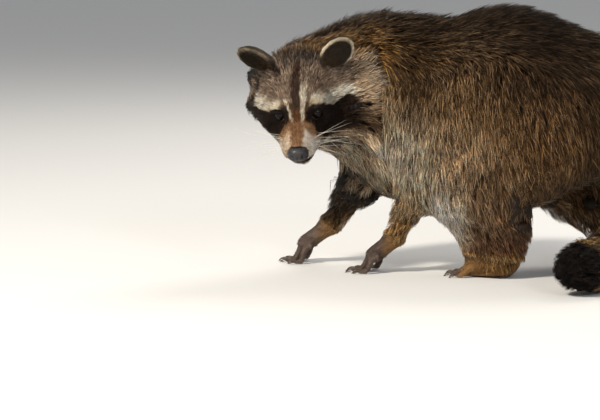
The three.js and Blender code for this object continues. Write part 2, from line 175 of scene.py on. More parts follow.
class Finish:
    def __init__(self, name, constants):
        self.material = bpy.data.materials.new(name)
        self.material.use_nodes = True
        self.tree = self.material.node_tree
        self.tree.nodes.clear()
        self.shader = self.tree.nodes.new("ShaderNodeBsdfPrincipled")
        output = self.tree.nodes.new("ShaderNodeOutputMaterial")
        self.tree.links.new(self.shader.outputs[0], output.inputs[0])
        for socket, value in constants.items():
            self.shader.inputs[socket].default_value = value

    def feed(self, socket, value):
        if isinstance(value, Tap):
            self.tree.links.new(value.socket, socket)
        else:
            socket.default_value = value

    def node(self, kind, settings, inputs, output=0):
        made = self.tree.nodes.new("ShaderNode" + kind)
        for key, value in settings.items():
            if key == "stops":
                while len(made.color_ramp.elements) < len(value):
                    made.color_ramp.elements.new(1)
                for stop, (place, colour) in zip(made.color_ramp.elements, value):
                    stop.position, stop.color = place, colour
            else:
                setattr(made, key, value)
        for key, value in inputs.items():
            self.feed(made.inputs[key], value)
        return Tap(self, made.outputs[output])

    def mixed(self, share, a, b, way="MIX"):
        settings = {"data_type": "RGBA", "blend_type": way}
        return self.node("Mix", settings, {0: share, 6: a, 7: b}, 2)

    def grey(self, value):
        return self.node("CombineColor", {}, {0: value, 1: value, 2: value})

    def named(self, attribute, output=0):
        return self.node("Attribute", {"attribute_name": attribute}, {}, output)

    def place(self, scale):        # object coordinates times scale
        at = self.node("TexCoord", {}, {}, 3)
        return self.node("Mapping", {}, {"Vector": at, "Scale": (scale,) * 3})

    def noise(self, scale, detail=2.0, rough=0.5):
        return self.node("TexNoise", {}, {"Vector": self.place(scale), "Scale": 1.0, "Detail": detail,
                                          "Roughness": rough})

    def between(self, value, low, high):   # value brought from low..high to 0..1
        return self.node("MapRange", {"interpolation_type": "SMOOTHSTEP"},
                         {"Value": value, "From Min": low, "From Max": high})

    def bump(self, height, strength, distance):
        made = self.node("Bump", {}, {"Strength": strength, "Distance": distance, "Height": height})
        self.feed(self.shader.inputs["Normal"], made)

    def paint(self, **sockets):
        for name, value in sockets.items():
            self.feed(self.shader.inputs[name.replace("_", " ")], value)
        return self.material


def furFinish():
    f = Finish("fur", {"Specular IOR Level": 0.16})
    along = f.named("along", 2)
    tint = f.mixed(f.between(along, 0.12, 0.55), f.named("furRoot"), f.named("furTint"))
    colour = f.mixed(f.between(along, 0.58, 0.85), tint, f.named("furTip"))
    fine = f.noise(900, 1.0)
    colour = f.mixed(0.35, colour, f.grey(fine * 1.4), "OVERLAY")
    return f.paint(Base_Color=colour, Roughness=0.42 + fine * 0.25)


def skinFinish():
    f = Finish("skin", {"Specular IOR Level": 0.3})
    wear = f.noise(260, 4.0, 0.6)
    bare = f.named("bare", 2)
    # furTint on the skin is already darkened under the coat: painted shade
    colour = f.mixed(0.5, f.named("furTint"), f.grey(wear), "OVERLAY")
    creases = f.node("TexVoronoi", {"feature": "DISTANCE_TO_EDGE"}, {"Vector": f.place(620), "Scale": 1.0})
    nap = f.noise(1500, 2.0)
    height = bare * f.between(creases, 0.0, 0.25) + (1 - bare) * nap
    f.bump(height, 0.55, 0.4 * mm)
    return f.paint(Base_Color=colour, Roughness=0.62 - bare * 0.12)


def eyeFinish():
    f = Finish("wetEye", {"Specular IOR Level": 0.0, "Coat Weight": 0.9, "Coat Roughness": 0.02,
                          "Coat IOR": 1.3})
    out = f.named("fromPupil", 2)
    grain = f.noise(1400, 2.0)
    iris = f.mixed(f.between(grain, 0.3, 0.7), (0.004, 0.002, 0.001, 1), (0.013, 0.006, 0.003, 1))
    colour = f.mixed(f.between(out, 0.44, 0.50), (0.001, 0.001, 0.001, 1), iris)
    colour = f.mixed(f.between(out, 0.66, 0.80), colour, (0.006, 0.004, 0.004, 1))
    return f.paint(Base_Color=colour, Roughness=0.12 + grain * 0.05)


def noseFinish():
    f = Finish("nosePad", {"Specular IOR Level": 0.5, "Coat Weight": 0.2, "Coat Roughness": 0.28})
    cells = f.node("TexVoronoi", {"feature": "DISTANCE_TO_EDGE"}, {"Vector": f.place(1100), "Scale": 1.0})
    pebble = f.between(cells, 0.0, 0.3)
    f.bump(pebble, 0.5, 0.25 * mm)
    # the creases between the pebbles darker than their tops: painted shade in the creases
    tone = f.mixed(pebble, (0.007, 0.006, 0.007, 1), (0.024, 0.020, 0.023, 1))
    return f.paint(Base_Color=tone, Roughness=0.46 - pebble * 0.1)


def hornFinish():
    f = Finish("claw", {"Specular IOR Level": 0.5})
    along = f.named("along", 2)
    streak = f.noise(800, 3.0)
    colour = f.mixed(f.between(along, 0.3, 1.0), (0.055, 0.035, 0.022, 1), (0.018, 0.013, 0.010, 1))
    colour = f.mixed(f.between(streak, 0.45, 0.75), colour, (0.11, 0.078, 0.05, 1))
    f.bump(streak, 0.2, 0.2 * mm)
    return f.paint(Base_Color=colour, Roughness=0.3 + streak * 0.15)


def bristleFinish():
    f = Finish("bristle", {"Specular IOR Level": 0.5})
    tone = f.noise(300, 1.0)
    colour = f.mixed(tone, (0.62, 0.56, 0.47, 1), (0.82, 0.78, 0.7, 1))
    return f.paint(Base_Color=colour, Roughness=0.35 + tone * 0.1)


def lidFinish():
    f = Finish("eyelid", {"Specular IOR Level": 0.12})
    wrinkle = f.noise(900, 3.0)
    f.bump(wrinkle, 0.5, 0.3 * mm)
    return f.paint(Base_Color=f.mixed(wrinkle, (0.003, 0.002, 0.002, 1), (0.011, 0.007, 0.005, 1)),
                   Roughness=0.5 + wrinkle * 0.2)


finishes = {
    "fur": furFinish(), "skin": skinFinish(), "eye": eyeFinish(), "nose": noseFinish(),
    "claw": hornFinish(), "bristle": bristleFinish(), "lid": lidFinish(),
}
print("finishes made")


# meshes from arrays, and pieces from meshes
def meshFrom(name, points, faces):
    mesh = bpy.data.meshes.new(name)
    mesh.vertices.add(len(points))
    mesh.vertices.foreach_set("co", np.asarray(points, np.float32).ravel())
    mesh.loops.add(faces.size)
    mesh.loops.foreach_set("vertex_index", np.asarray(faces, np.int32).ravel())
    mesh.polygons.add(len(faces))
    mesh.polygons.foreach_set("loop_start", np.arange(0, faces.size, faces.shape[1], dtype=np.int32))
    mesh.update(calc_edges=True)
    mesh.shade_smooth()
    return mesh


def setAttribute(mesh, name, kind, values):
    layer = mesh.attributes.new(name, kind, "POINT")
    if kind == "FLOAT_COLOR":
        values = np.concatenate([values, np.ones((len(values), 1))], 1)
        layer.data.foreach_set("color", values.astype(np.float32).ravel())
    else:
        layer.data.foreach_set("value", np.asarray(values, np.float32))


def objectOf(name, mesh):
    made = bpy.data.objects.new(name, mesh)
    bpy.context.scene.collection.objects.link(made)
    return made


def finished(piece, finish):
    piece.data.materials.clear()
    piece.data.materials.append(finishes[finish])
    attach(piece, "root")
    return piece


def applied(piece):            # the piece's mesh with its modifiers worked in
    graph = bpy.context.evaluated_depsgraph_get()
    mesh = bpy.data.meshes.new_from_object(piece.evaluated_get(graph))
    piece.modifiers.clear()
    piece.data = mesh
    return piece


def read(collection, key, kind, width):
    values = np.empty(len(collection) * width, kind)
    collection.foreach_get(key, values)
    return values.reshape(-1, width) if width > 1 else values


# the skin, first as one closed surface round all the flesh
skinPlan = dict(voxel=1.3 * mm, overlap=0.4 * mm, most=185000)
fleshNames = sorted(name for name in nodes if not name.startswith("eye_") and name != "nose")
whole = bmesh.new()
cadPoints, cadFaces, faceName = [], [], []
for number, name in enumerate(fleshNames):
    part = bmesh.new()
    part.from_mesh(nodes[name].data)
    bmesh.ops.remove_doubles(part, verts=part.verts, dist=1e-6)
    bmesh.ops.triangulate(part, faces=part.faces)
    part.normal_update()
    start = len(cadPoints)
    cadPoints += [v.co.copy() for v in part.verts]
    cadFaces += [[start + v.index for v in face.verts] for face in part.faces]
    faceName += [number] * len(part.faces)
    for v in part.verts:
        v.co += v.normal * skinPlan["overlap"]
    carrier = bpy.data.meshes.new("carrier")
    part.to_mesh(carrier)
    whole.from_mesh(carrier)
    part.free()
cadTree = BVHTree.FromPolygons(cadPoints, cadFaces)
rough = bpy.data.meshes.new("rough")
whole.to_mesh(rough)
whole.free()
block = objectOf("block", rough)
remesh = block.modifiers.new("remesh", "REMESH")
remesh.mode, remesh.voxel_size = "VOXEL", skinPlan["voxel"]
applied(block)
print("skin remeshed:", len(block.data.vertices), "points")


def linked(count, pairs):      # the largest connected set of points
    own = np.arange(count)
    while True:
        low = np.minimum(own[pairs[:, 0]], own[pairs[:, 1]])
        fresh = own.copy()
        np.minimum.at(fresh, pairs[:, 0], low)
        np.minimum.at(fresh, pairs[:, 1], low)
        fresh = fresh[fresh]
        if (fresh == own).all():
            return own == np.bincount(own).argmax()
        own = fresh


quads = read(block.data.loops, "vertex_index", np.int32, 1).reshape(-1, 4)
pairs = read(block.data.edges, "vertices", np.int32, 2)
points = read(block.data.vertices, "co", np.float32, 3).astype(float)
kept = linked(len(points), pairs)
renumber = np.cumsum(kept) - 1
quads, pairs, points = renumber[quads[kept[quads[:, 0]]]], renumber[pairs[kept[pairs[:, 0]]]], points[kept]
bpy.data.objects.remove(block)
degree = np.bincount(pairs.ravel(), minlength=len(points)).astype(float)


def averaged(values):          # each point's value from its neighbours
    values = values.reshape(len(values), -1)
    total = [np.bincount(pairs[:, 0], column[pairs[:, 1]], len(column))
             + np.bincount(pairs[:, 1], column[pairs[:, 0]], len(column)) for column in values.T]
    return (np.array(total) / degree).T


def spread(values, times):
    shape = values.shape
    for _ in range(times):
        values = 0.5 * values.reshape(len(values), -1) + 0.5 * averaged(values)
    return values.reshape(shape)


def normalsOf(points, faces):
    a, b, c, d = (points[faces[:, k]] for k in (0, 1, 2, 3))
    flat = np.cross(c - a, d - b)
    total = [np.bincount(faces.ravel(), np.repeat(column, 4), len(points)) for column in flat.T]
    return unit(np.array(total).T)


nearest = [cadTree.find_nearest(p) for p in points]
label = np.array([faceName[hit[2]] for hit in nearest])
labelOf = {name: number for number, name in enumerate(fleshNames)}


def onFlesh(labels, *words):    # where labels are of flesh whose name starts or ends with one of the words
    wanted = [labelOf[name] for name in fleshNames if name.startswith(words) or name.endswith(words)]
    return np.isin(labels, wanted)


def valueBy(table, otherwise):  # a value for each flesh node, by the first name that it starts or ends with
    values = []
    for name in fleshNames:
        found = [v for key, v in table.items() if name.startswith(key) or name.endswith(key)]
        values.append(found[0] if found else otherwise)
    return np.array(values, float)[label]


# how strongly the faceted solids are rounded: much on the body, little on toes and face
roundness = spread(valueBy({"paw": 0.12, "ear_": 0.12, "head": 0.5, "muzzle": 0.4, "lower_jaw": 0.45,
                            "lower_leg": 0.8, "tail": 0.5}, 1.0), 12)[:, None]
smoothing = dict(steps=70, shares=(0.5, -0.52))      # in, then a little further out, so nothing shrinks
for step in range(smoothing["steps"]):
    for share in smoothing["shares"]:
        points += share * roundness * (averaged(points) - points)
print("skin rounded")

# the hind heels, rounded off behind and below, and furred
heel = np.zeros(len(points))
for side in ("left", "right"):
    behind = (points[:, 0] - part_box("hind_" + side + "_paw")[0][0]) / mm
    above = (points[:, 2] - cadBox[0][2]) / mm
    ours = spread(valueBy({"hind_" + side + "_paw": 1.0}, 0.0), 6)
    heel += ours * ramp(34, 52, behind) * ramp(1, 9, above)
    points[:, 0] -= ours * 9 * mm * ramp(50, 84, behind) * ramp(20, 0, above)
heel = spread(heel, 6)

# the coat's depth in mm, and the skin sunk by it
onHead = toHead(points)
sideways, upward, forward = np.abs(onHead[:, 0]), onHead[:, 1], onHead[:, 2]
faceDepth = (1.5 + 1.3 * ramp(34, 8, forward) + 2.4 * ramp(0, -26, forward) + 4 * ramp(-20, -52, forward)
             + 9 * ramp(30, 62, sideways) * ramp(28, 8, upward) * ramp(14, -14, forward)
             + 3 * ramp(-28, -50, upward) * ramp(16, -16, forward))
eyeSpot = np.hypot(sideways - eyePlan["apart"], upward - eyePlan["up"])
faceDepth = faceDepth * (0.45 + 0.55 * ramp(8, 18, eyeSpot))
headLabels = onFlesh(label, "head", "muzzle", "lower_jaw")
depth = valueBy({"trunk": 20, "neck": 17, "ear_": 0.7, "fore_left_upper": 17, "fore_right_upper": 15,
                 "hind_left_upper": 18, "hind_right_upper": 18, "fore_left_lower": 9, "fore_right_lower": 9,
                 "hind_left_lower": 10, "hind_right_lower": 10, "paw": 1.1, "tail": 13}, 10)
depth = spread(depth, 130)
nearHead = spread(headLabels.astype(float), 14)
depth = depth * (1 - nearHead) + faceDepth * nearHead
thin = spread(valueBy({"paw": 1.0, "ear_": 1.0}, 0.0), 10) * (1 - heel)
depth = depth * (1 - heel) + 5 * heel
depth = depth * (1 - thin) + np.minimum(depth, 1.1) * thin
depth = spread(depth, 4)
coatTop = points.copy()        # where the tips of the coat come
sinkSteps = 12
for step in range(sinkSteps):
    way = spread(normalsOf(points, quads), 3)
    points -= unit(way) * (depth * mm / sinkSteps)[:, None]
    points += 0.25 * (1 - thin[:, None]) * (averaged(points) - points)
print("skin sunk by the coat's depth")

# the face's own shape: sockets, lid mounds and the mouth's groove
gazeWay = {1: unit([0.36, 0.03, 0.93]), -1: unit([-0.36, 0.03, 0.93])}     # in the head's axes
eyeCentre = {side: np.array([side * eyePlan["apart"], eyePlan["up"], eyePlan["forward"] - eyePlan["sunk"]])
             for side in (1, -1)}
normals = normalsOf(points, quads)
onHead = toHead(points)
for side, gaze in gazeWay.items():
    fromEye = onHead - eyeCentre[side]
    ahead = fromEye @ gaze
    off = np.linalg.norm(fromEye - ahead[:, None] * gaze, axis=1)
    inFront = (ahead > -7) & (off < 17)
    mound = ramp(13, 6.4, off) * inFront
    sink = ramp(6.4, 5.2, off) * inFront
    wanted = (ahead * (1 - mound) + 3.6 * mound) * (1 - sink) + 1.0 * sink
    onHead += (wanted - ahead)[:, None] * gaze
    ridge = np.exp(-((onHead[:, 0] - side * 20) / 9) ** 2 - ((onHead[:, 1] - 6.5) / 3.4) ** 2)
    onHead += gaze * (1.6 * ridge * inFront)[:, None]
mouthTilt = math.radians(4)


def overMouth(q):              # height above the mouth's plane, mm
    return (q[:, 1] + 29) * math.cos(mouthTilt) + (q[:, 2] - 20) * math.sin(mouthTilt)


groove = np.exp(-(overMouth(onHead) / 1.25) ** 2) * ramp(3, 12, onHead[:, 2]) * (np.abs(onHead[:, 0]) < 22)
headNormals = normals @ headAxes.T
onHead -= headNormals * (2.1 * groove)[:, None]
philtrum = np.exp(-(onHead[:, 0] / 1.1) ** 2) * ramp(-22, -25, onHead[:, 1]) * ramp(34, 38, onHead[:, 2])
onHead -= headNormals * (0.9 * philtrum * ramp(-1, 1, overMouth(onHead)))[:, None]
points = fromHead(onHead)
floorGap = dict(skin=0.2 * mm, coat=0.3 * mm)        # least height over the floor
points[:, 2] = np.maximum(points[:, 2], cadBox[0][2] + floorGap["skin"])
print("face shaped")

# the tail's line, and how far along it a point is
tailKnots = fromAnimal([(186, -4, 160), (212, -20, 128), (221, -52, 76), (216, -92, 38), (203, -134, 29),
                        (186, -170, 27), (172, -196, 25)])


def smoothLine(knots, steps):  # a curve through the knots
    ends = np.concatenate([[2 * knots[0] - knots[1]], knots, [2 * knots[-1] - knots[-2]]])
    line = []
    for n in range(1, len(ends) - 2):
        a, b, c, d = ends[n - 1:n + 3]
        for t in np.linspace(0, 1, steps, endpoint=False):
            line.append(0.5 * (2 * b + (c - a) * t + (2 * a - 5 * b + 4 * c - d) * t ** 2
                               + (3 * b - a - 3 * c + d) * t ** 3))
    return np.array(line + [knots[-1]])


tailLine = smoothLine(tailKnots, 24)
tailAlong = np.concatenate([[0], np.cumsum(np.linalg.norm(np.diff(tailLine, axis=0), axis=1))]) / mm


def alongTail(p):              # mm from the root, and the way of the tail there
    near = np.array([((tailLine - q) ** 2).sum(1).argmin() for q in p])
    after = tailLine[np.minimum(near + 1, len(tailLine) - 1)]
    return tailAlong[near], unit(after - tailLine[np.maximum(near - 1, 0)])


# ears' own axes
earPlan = {                    # seat in mm, splay and turn in degrees; the right ear is let down further
    "half": (17, 22, 11), "rise": 15.84,
    1: dict(seat=(32, 30, -37), splay=34, turn=18), -1: dict(seat=(-29, 30, -37), splay=50, turn=32),
}
earAxes = {}
for side in (1, -1):
    splay = Matrix.Rotation(math.radians(-side * earPlan[side]["splay"]), 3, "Z")
    earAxes[side] = np.array(splay @ Matrix.Rotation(math.radians(side * earPlan[side]["turn"]), 3, "Y")).T


def toEar(q, side):            # points on the head's axes to shares of the ear's half sizes
    at = (q - earPlan[side]["seat"]) @ earAxes[side].T
    return (at - [0, earPlan["rise"], 0]) / earPlan["half"]


# markings: the colour of the coat at any point of the animal
coatAreas = {                  # middle (along, across, up) and size in mm, colour, share of pale tips
    # back, backRear and withers: the coat's own dark hairs, made darker still by painted shade
    "back": ((50, 0, 268), 34, (0.034, 0.018, 0.007), 0.22),
    "backRear": ((125, 0, 250), 36, (0.027, 0.014, 0.006), 0.22),
    "withers": ((-25, 0, 262), 28, (0.040, 0.023, 0.011), 0.25),
    "nape": ((-80, -10, 245), 24, (0.044, 0.031, 0.022), 0.30),
    "neckSide": ((-62, -60, 225), 20, (0.250, 0.122, 0.030), 0.32),
    "collar": ((-55, -60, 180), 20, (0.410, 0.242, 0.100), 0.50),
    "overShoulder": ((-5, -75, 205), 26, (0.070, 0.033, 0.008), 0.26),
    "shoulder": ((-27, -75, 115), 30, (0.420, 0.305, 0.200), 0.60),
    "chest": ((-75, 0, 130), 26, (0.270, 0.187, 0.118), 0.50),
    "flankTop": ((60, -80, 215), 28, (0.072, 0.039, 0.016), 0.30),
    "flank": ((50, -90, 170), 28, (0.270, 0.146, 0.054), 0.42),
    "flankLow": ((52, -80, 122), 24, (0.300, 0.188, 0.100), 0.52),
    "belly": ((20, 0, 85), 30, (0.200, 0.135, 0.080), 0.45),
    "haunch": ((112, -90, 140), 32, (0.190, 0.095, 0.032), 0.38),
    "haunchTop": ((120, -80, 200), 30, (0.048, 0.024, 0.009), 0.24),
    "rump": ((180, 0, 200), 34, (0.070, 0.040, 0.018), 0.30),
    "seat": ((185, 0, 130), 26, (0.120, 0.068, 0.030), 0.36),
    "thighFront": ((34, -75, 66), 15, (0.620, 0.500, 0.370), 0.80),
    "thigh": ((85, -80, 75), 24, (0.215, 0.120, 0.056), 0.42),
    "shin": ((92, -70, 40), 17, (0.135, 0.056, 0.026), 0.30),
    "foreArm": ((-15, -60, 62), 20, (0.235, 0.122, 0.036), 0.40),
}
tones = {
    "cream": (0.84, 0.70, 0.52), "yellowed": (0.56, 0.43, 0.22), "ruff": (0.31, 0.215, 0.135),
    "white": (0.88, 0.73, 0.58), "tan": (0.31, 0.170, 0.080), "rust": (0.145, 0.055, 0.018),
    "mask": (0.019, 0.010, 0.0065), "jowl": (0.034, 0.018, 0.009), "stripe": (0.060, 0.035, 0.024),
    "grizzle": (0.240, 0.168, 0.118), "crown": (0.048, 0.035, 0.027), "cheek": (0.092, 0.054, 0.027),
    "lip": (0.008, 0.006, 0.006), "chin": (0.46, 0.39, 0.31), "earDark": (0.050, 0.036, 0.023),
    "earRim": (0.66, 0.53, 0.36), "gold": (0.27, 0.140, 0.036), "ring": (0.014, 0.008, 0.005),
    "shadeLeg": (0.034, 0.021, 0.012), "foot": (0.34, 0.180, 0.060), "toe": (0.150, 0.105, 0.082),
}


def mottled(p, size, seed):     # smooth uneven patches about size across, from -1 to 1
    own = np.random.default_rng(seed)
    waves, shifts = own.normal(0, 2.6 / size, (3, 14)), own.uniform(0, 2 * math.pi, 14)
    return np.clip(np.sin(p @ waves + shifts).sum(1) / 5, -1, 1)


def faceColours(q, tint, pale):
    q = q + np.stack([mottled(q, 3.5, 1), mottled(q, 3.5, 2), 0 * q[:, 0]], 1) * 0.9
    x, y, z = q.T
    a = np.abs(x)

    def lay(tone, share):      # a tone over what is there
        nonlocal tint
        tint = toward(tint, tones[tone], share)

    maskTop = np.interp(x, [-60, -50, -42, -29, -21, -12.5, 0, 14.5, 22.5, 32, 37, 52, 60, 66],
                        [-11, -8.5, -5.3, 0.3, 5.2, 8.6, 9, 8.2, 8.2, 3.4, 2.2, 3.0, 0, -6])
    inner = np.interp(y, [-24, -18, -14, -10, -6, -3, 0, 4, 8, 12],
                      [24, 21.5, 19, 17, 14, 10.5, 8.3, 9.2, 12.6, 14])
    lay("cheek", 1 + 0 * a)
    pale = pale * 0 + 0.35
    forehead = ramp(maskTop + 1, maskTop + 4, y)
    lay("grizzle", forehead)
    pale = pale + 0.12 * forehead
    lay("crown", ramp(26, 40, y) * ramp(-20, -38, z) * ramp(44, 26, a))
    ruff = ramp(50, 62, x) * ramp(-24, -2, y) * (0.45 + 0.55 * ramp(86, 70, x))
    lay("ruff", 0.9 * ruff)
    pale = pale + 0.12 * ruff
    # the outer edge of the head's right side (x < 0) darkened towards the crown's tone: painted shade
    lay("crown", 0.75 * ramp(-38, -52, x) * ramp(-4, 8, y - maskTop))
    brow = ramp(maskTop - 0.6, maskTop + 1.4, y) * ramp(maskTop + 11.5, maskTop + 6.5, y)
    # the right brow (x < 0) is laid at 0.8 strength: painted shade on the head's shaded side
    leftBrow, shadedRightBrow = ramp(11.5, 15.5, a) * ramp(66, 50, a), 0.8 * ramp(16, 21, a) * ramp(54, 44, a)
    brow = brow * np.where(x > 0, leftBrow, shadedRightBrow)
    lay("cream", brow)
    lay("yellowed", 0.7 * brow * ramp(26, 17, a) * ramp(maskTop + 6, maskTop + 2, y))
    pale = pale + 0.25 * brow
    outer = a + 0.25 * np.maximum(-10 - y, 0)
    mask = ramp(maskTop + 1.2, maskTop - 0.8, y) * ramp(-47, -38, y) * ramp(inner - 1.1, inner + 1.1, a)
    mask = mask * ramp(28, 20, z) * np.where(x > 0, ramp(74, 54, outer), 1)
    lay("mask", mask)
    lay("jowl", mask * np.maximum(ramp(-12, -26, y), 0.8 * ramp(36, 54, outer)))
    pale = pale * (1 - 0.85 * mask)
    within = ramp(inner + 1.1, inner - 1.1, a)
    bridge = within * ramp(6, 0, y) * ramp(-30, -22, y)
    lay("rust", bridge)
    lay("tan", bridge * (0.25 + 0.65 * ramp(2, 6, x)) * ramp(0, -6, y))
    pale = pale + 0.14 * bridge
    middle = np.interp(y, [0, 6, 11, 18, 24, 33], [0, 0, -0.9, -1.9, -2.1, -1.3])
    half = np.interp(y, [0, 6, 11, 18, 24, 33], [1.6, 2.4, 3.2, 4.5, 4.3, 3.6])
    stripe = ramp(half + 1.2, half - 1.0, np.abs(x - middle)) * ramp(-1, 5, y) * ramp(-46, -30, z)
    lay("rust", 0.8 * stripe)
    lay("stripe", 0.92 * stripe * ramp(3, 11, y))
    pale = pale * (1 - 0.6 * stripe)
    wide = 1.5 + 0.10 * np.maximum(y, 0)
    streak = ramp(wide + 0.9, wide - 0.7, np.abs(x - 4.7 - 0.09 * y)) * hump(-1, 23, 3, y)
    streak += 0.75 * ramp(2.1, 0.7, np.abs(x + 6.4 + 0.5 * y)) * hump(-1, 14, 2, y)
    lay("cream", 0.85 * np.clip(streak, 0, 1))
    core = ramp(9.0, 4.6, np.abs(x + 0.6)) * ramp(50, 30, z)
    snout = ramp(13, 26, z + 0.5 * np.maximum(-12 - y, 0)) * within
    lay("tan", snout)
    # the white is laid at 0.4 strength on the head's right side (x < 0): painted shade on that side
    toWhite = ramp(22, 32, z + 0.9 * np.maximum(-13 - y, 0)) * np.where(x > 0, 1, 0.4)
    lay("white", snout * ramp(4.5, 9, np.abs(x + 0.8)) * toWhite)
    lay("rust", 0.7 * core * snout)
    chin = ramp(-30, -33, y) * ramp(6, 12, z) * ramp(30, 20, z)
    lay("chin", chin)
    pale = pale + 0.2 * np.maximum(snout, chin) * (1 - pale)
    over = overMouth(q)
    lip = ramp(1.9, 1.0, over) * ramp(-3.5, -2.0, over + 0.5 * np.maximum(z - 24, 0))
    lip = lip * ramp(8, 14, z) * (a < 26)
    rimmed = np.linalg.norm((q - nosePlan["at"]) / nosePlan["half"], axis=1)
    lip = np.maximum(lip, ramp(1.22, 1.1, rimmed))
    lay("lip", lip)
    return tint, pale * (1 - lip)


def earColours(q, side, tint, pale):
    e = toEar(q, side)
    out = np.hypot(e[:, 0], e[:, 1])
    inside = (e[:, 2] > -0.75 + 0.75 * out * out) & (out < 0.88)
    rim = ramp(0.80, 0.93, out) * ramp(-0.28, -0.1, e[:, 2]) * ramp(-0.5, -0.1, e[:, 1])
    tint = toward(tint, tones["earDark"], 1 + 0 * out)
    tint = toward(tint, tones["crown"], 0.7 * ramp(0.3, -0.4, e[:, 1]) * ~inside)
    # the right ear's pale rim is laid at 0.22 strength: painted shade on that ear
    rim = rim * (1 if side > 0 else 0.22)
    tint = toward(tint, tones["cheek"], 0.7 * inside * ramp(0.0, -0.7, e[:, 1]))
    tint = toward(tint, tones["earRim"], rim)
    return tint, np.where(inside, 0.30, 0.12 + 0.4 * rim)


def markings(p, label):        # tint and share of pale tips
    at = toAnimal(p)
    weights, tint, pale = 0, 0, 0
    mirrored = np.stack([at[:, 0], -np.abs(at[:, 1]), at[:, 2]], 1)
    for (middle, size, colour, share) in coatAreas.values():
        weight = np.exp(-((mirrored - middle) ** 2).sum(1) / (2 * size * size)) + 1e-9
        weights = weights + weight
        tint = tint + weight[:, None] * np.array(colour)
        pale = pale + weight * share
    tint, pale = tint / weights[:, None], pale / weights

    def on(*words):
        return onFlesh(label, *words)

    # the right foreleg darkened towards shadeLeg and given fewer pale tips: painted shade on that leg
    shadedForeLeg = on("fore_right") * ramp(112, 78, at[:, 2])
    tint = toward(tint, tones["shadeLeg"], 0.85 * shadedForeLeg)
    pale = pale * (1 - 0.6 * shadedForeLeg)
    paws = on("paw")
    footShare = 0.85 * ramp(62, 34, at[:, 2]) * on("fore") + ramp(31, 17, at[:, 2]) * on("hind")
    tint = toward(tint, tones["foot"], footShare)
    knuckle = np.select([on("fore_left"), on("fore_right"), on("hind_left"), on("hind_right")],
                        [-38 - at[:, 0], -124 - at[:, 0], 51 - at[:, 0], 158 - at[:, 0]], 0)
    toeShare = np.where(on("hind"), ramp(0, 12, knuckle), ramp(-14, 6, knuckle))
    tint = toward(tint, tones["toe"], paws * toeShare)
    pale = np.where(paws, 0.2, pale)
    tail = on("tail")
    if tail.any():
        s = alongTail(p[tail])[0] + 3 * np.sin(at[tail, 1] * 0.21 + at[tail, 2] * 0.17)
        ring = 0.5 + 0.5 * np.cos(2 * np.pi * (s - 14) / 48)
        dark = np.maximum(ramp(0.38, 0.62, ring), ramp(238, 248, s))
        rings = toward(np.tile(tones["gold"], (len(s), 1)), tones["ring"], dark)
        tint[tail] = toward(tint[tail], rings, ramp(2, 16, s))
        pale[tail] = 0.3 - 0.22 * dark
    q = toHead(p)
    face = on("head", "muzzle", "lower_jaw")
    faceTint, facePale = faceColours(q[face], tint[face], pale[face])
    share = ramp(-50, -34, q[face, 1]) * ramp(-66, -50, q[face, 2])
    tint[face] = toward(tint[face], faceTint, share)
    pale[face] = pale[face] + (facePale - pale[face]) * share
    for name, side in (("ear_left", 1), ("ear_right", -1)):
        ear = label == labelOf[name]
        tint[ear], pale[ear] = earColours(q[ear], side, tint[ear], pale[ear])
    return tint, pale


# the lie of the coat, on every point of the skin
at = toAnimal(coatTop)
normals = normalsOf(points, quads)
lie = valueBy({"fore_left_upper": (0.10, -0.05, -1), "fore_right_upper": (-0.15, 0, -1),
               "fore_left_lower": (-0.33, 0.06, -0.6), "fore_right_lower": (-0.4, -0.18, -0.6),
               "fore_left_paw": (-1, 0, -0.35), "fore_right_paw": (-1, -0.07, -0.4),
               "hind_left_upper": (0.25, 0, -1), "hind_right_upper": (0.3, 0, -1),
               "hind_left_lower": (0.28, 0.06, -0.7), "hind_right_lower": (0.5, -0.06, -0.7),
               "hind_left_paw": (-1, 0.05, -0.2), "hind_right_paw": (-1, -0.05, -0.2)}, (1, 0, 0))
side = ramp(250, 190, at[:, 2])
trunk = onFlesh(label, "trunk", "neck")
drop = 0.25 + 1.5 * side + 1.2 * ramp(10, -45, at[:, 0]) * side
lie[trunk] = unit(np.stack([1 + 0 * drop, 0 * drop, -drop], 1))[trunk]
under = ramp(-0.35, -0.8, normals[:, 2]) * trunk
lie = toward(lie, (1, 0, -0.2), under)
tailLabel = onFlesh(label, "tail")
lie[tailLabel] = alongTail(coatTop[tailLabel])[1]
onHead = toHead(coatTop)
fromNose = unit(onHead - [0, -22, 50])
outer = ramp(14, 36, np.abs(onHead[:, 0]))
outwards = np.stack([np.sign(onHead[:, 0]) * 0.9 * outer, -0.22 * outer, 0 * outer], 1)
fromNose = (fromNose + outwards) @ headAxes
lie = toward(lie, fromNose, nearHead)
for name, side in (("ear_left", 1), ("ear_right", -1)):
    ear = label == labelOf[name]
    out = onHead[ear] - np.array([side * 30, 26, -40])
    lie[ear] = unit(out) @ headAxes
lie = toward(lie, (0.25, 0, -1), heel)
lie = spread(unit(across(lie, normals)), 25)
lie = unit(across(lie, normals))
print("lie of the coat set")

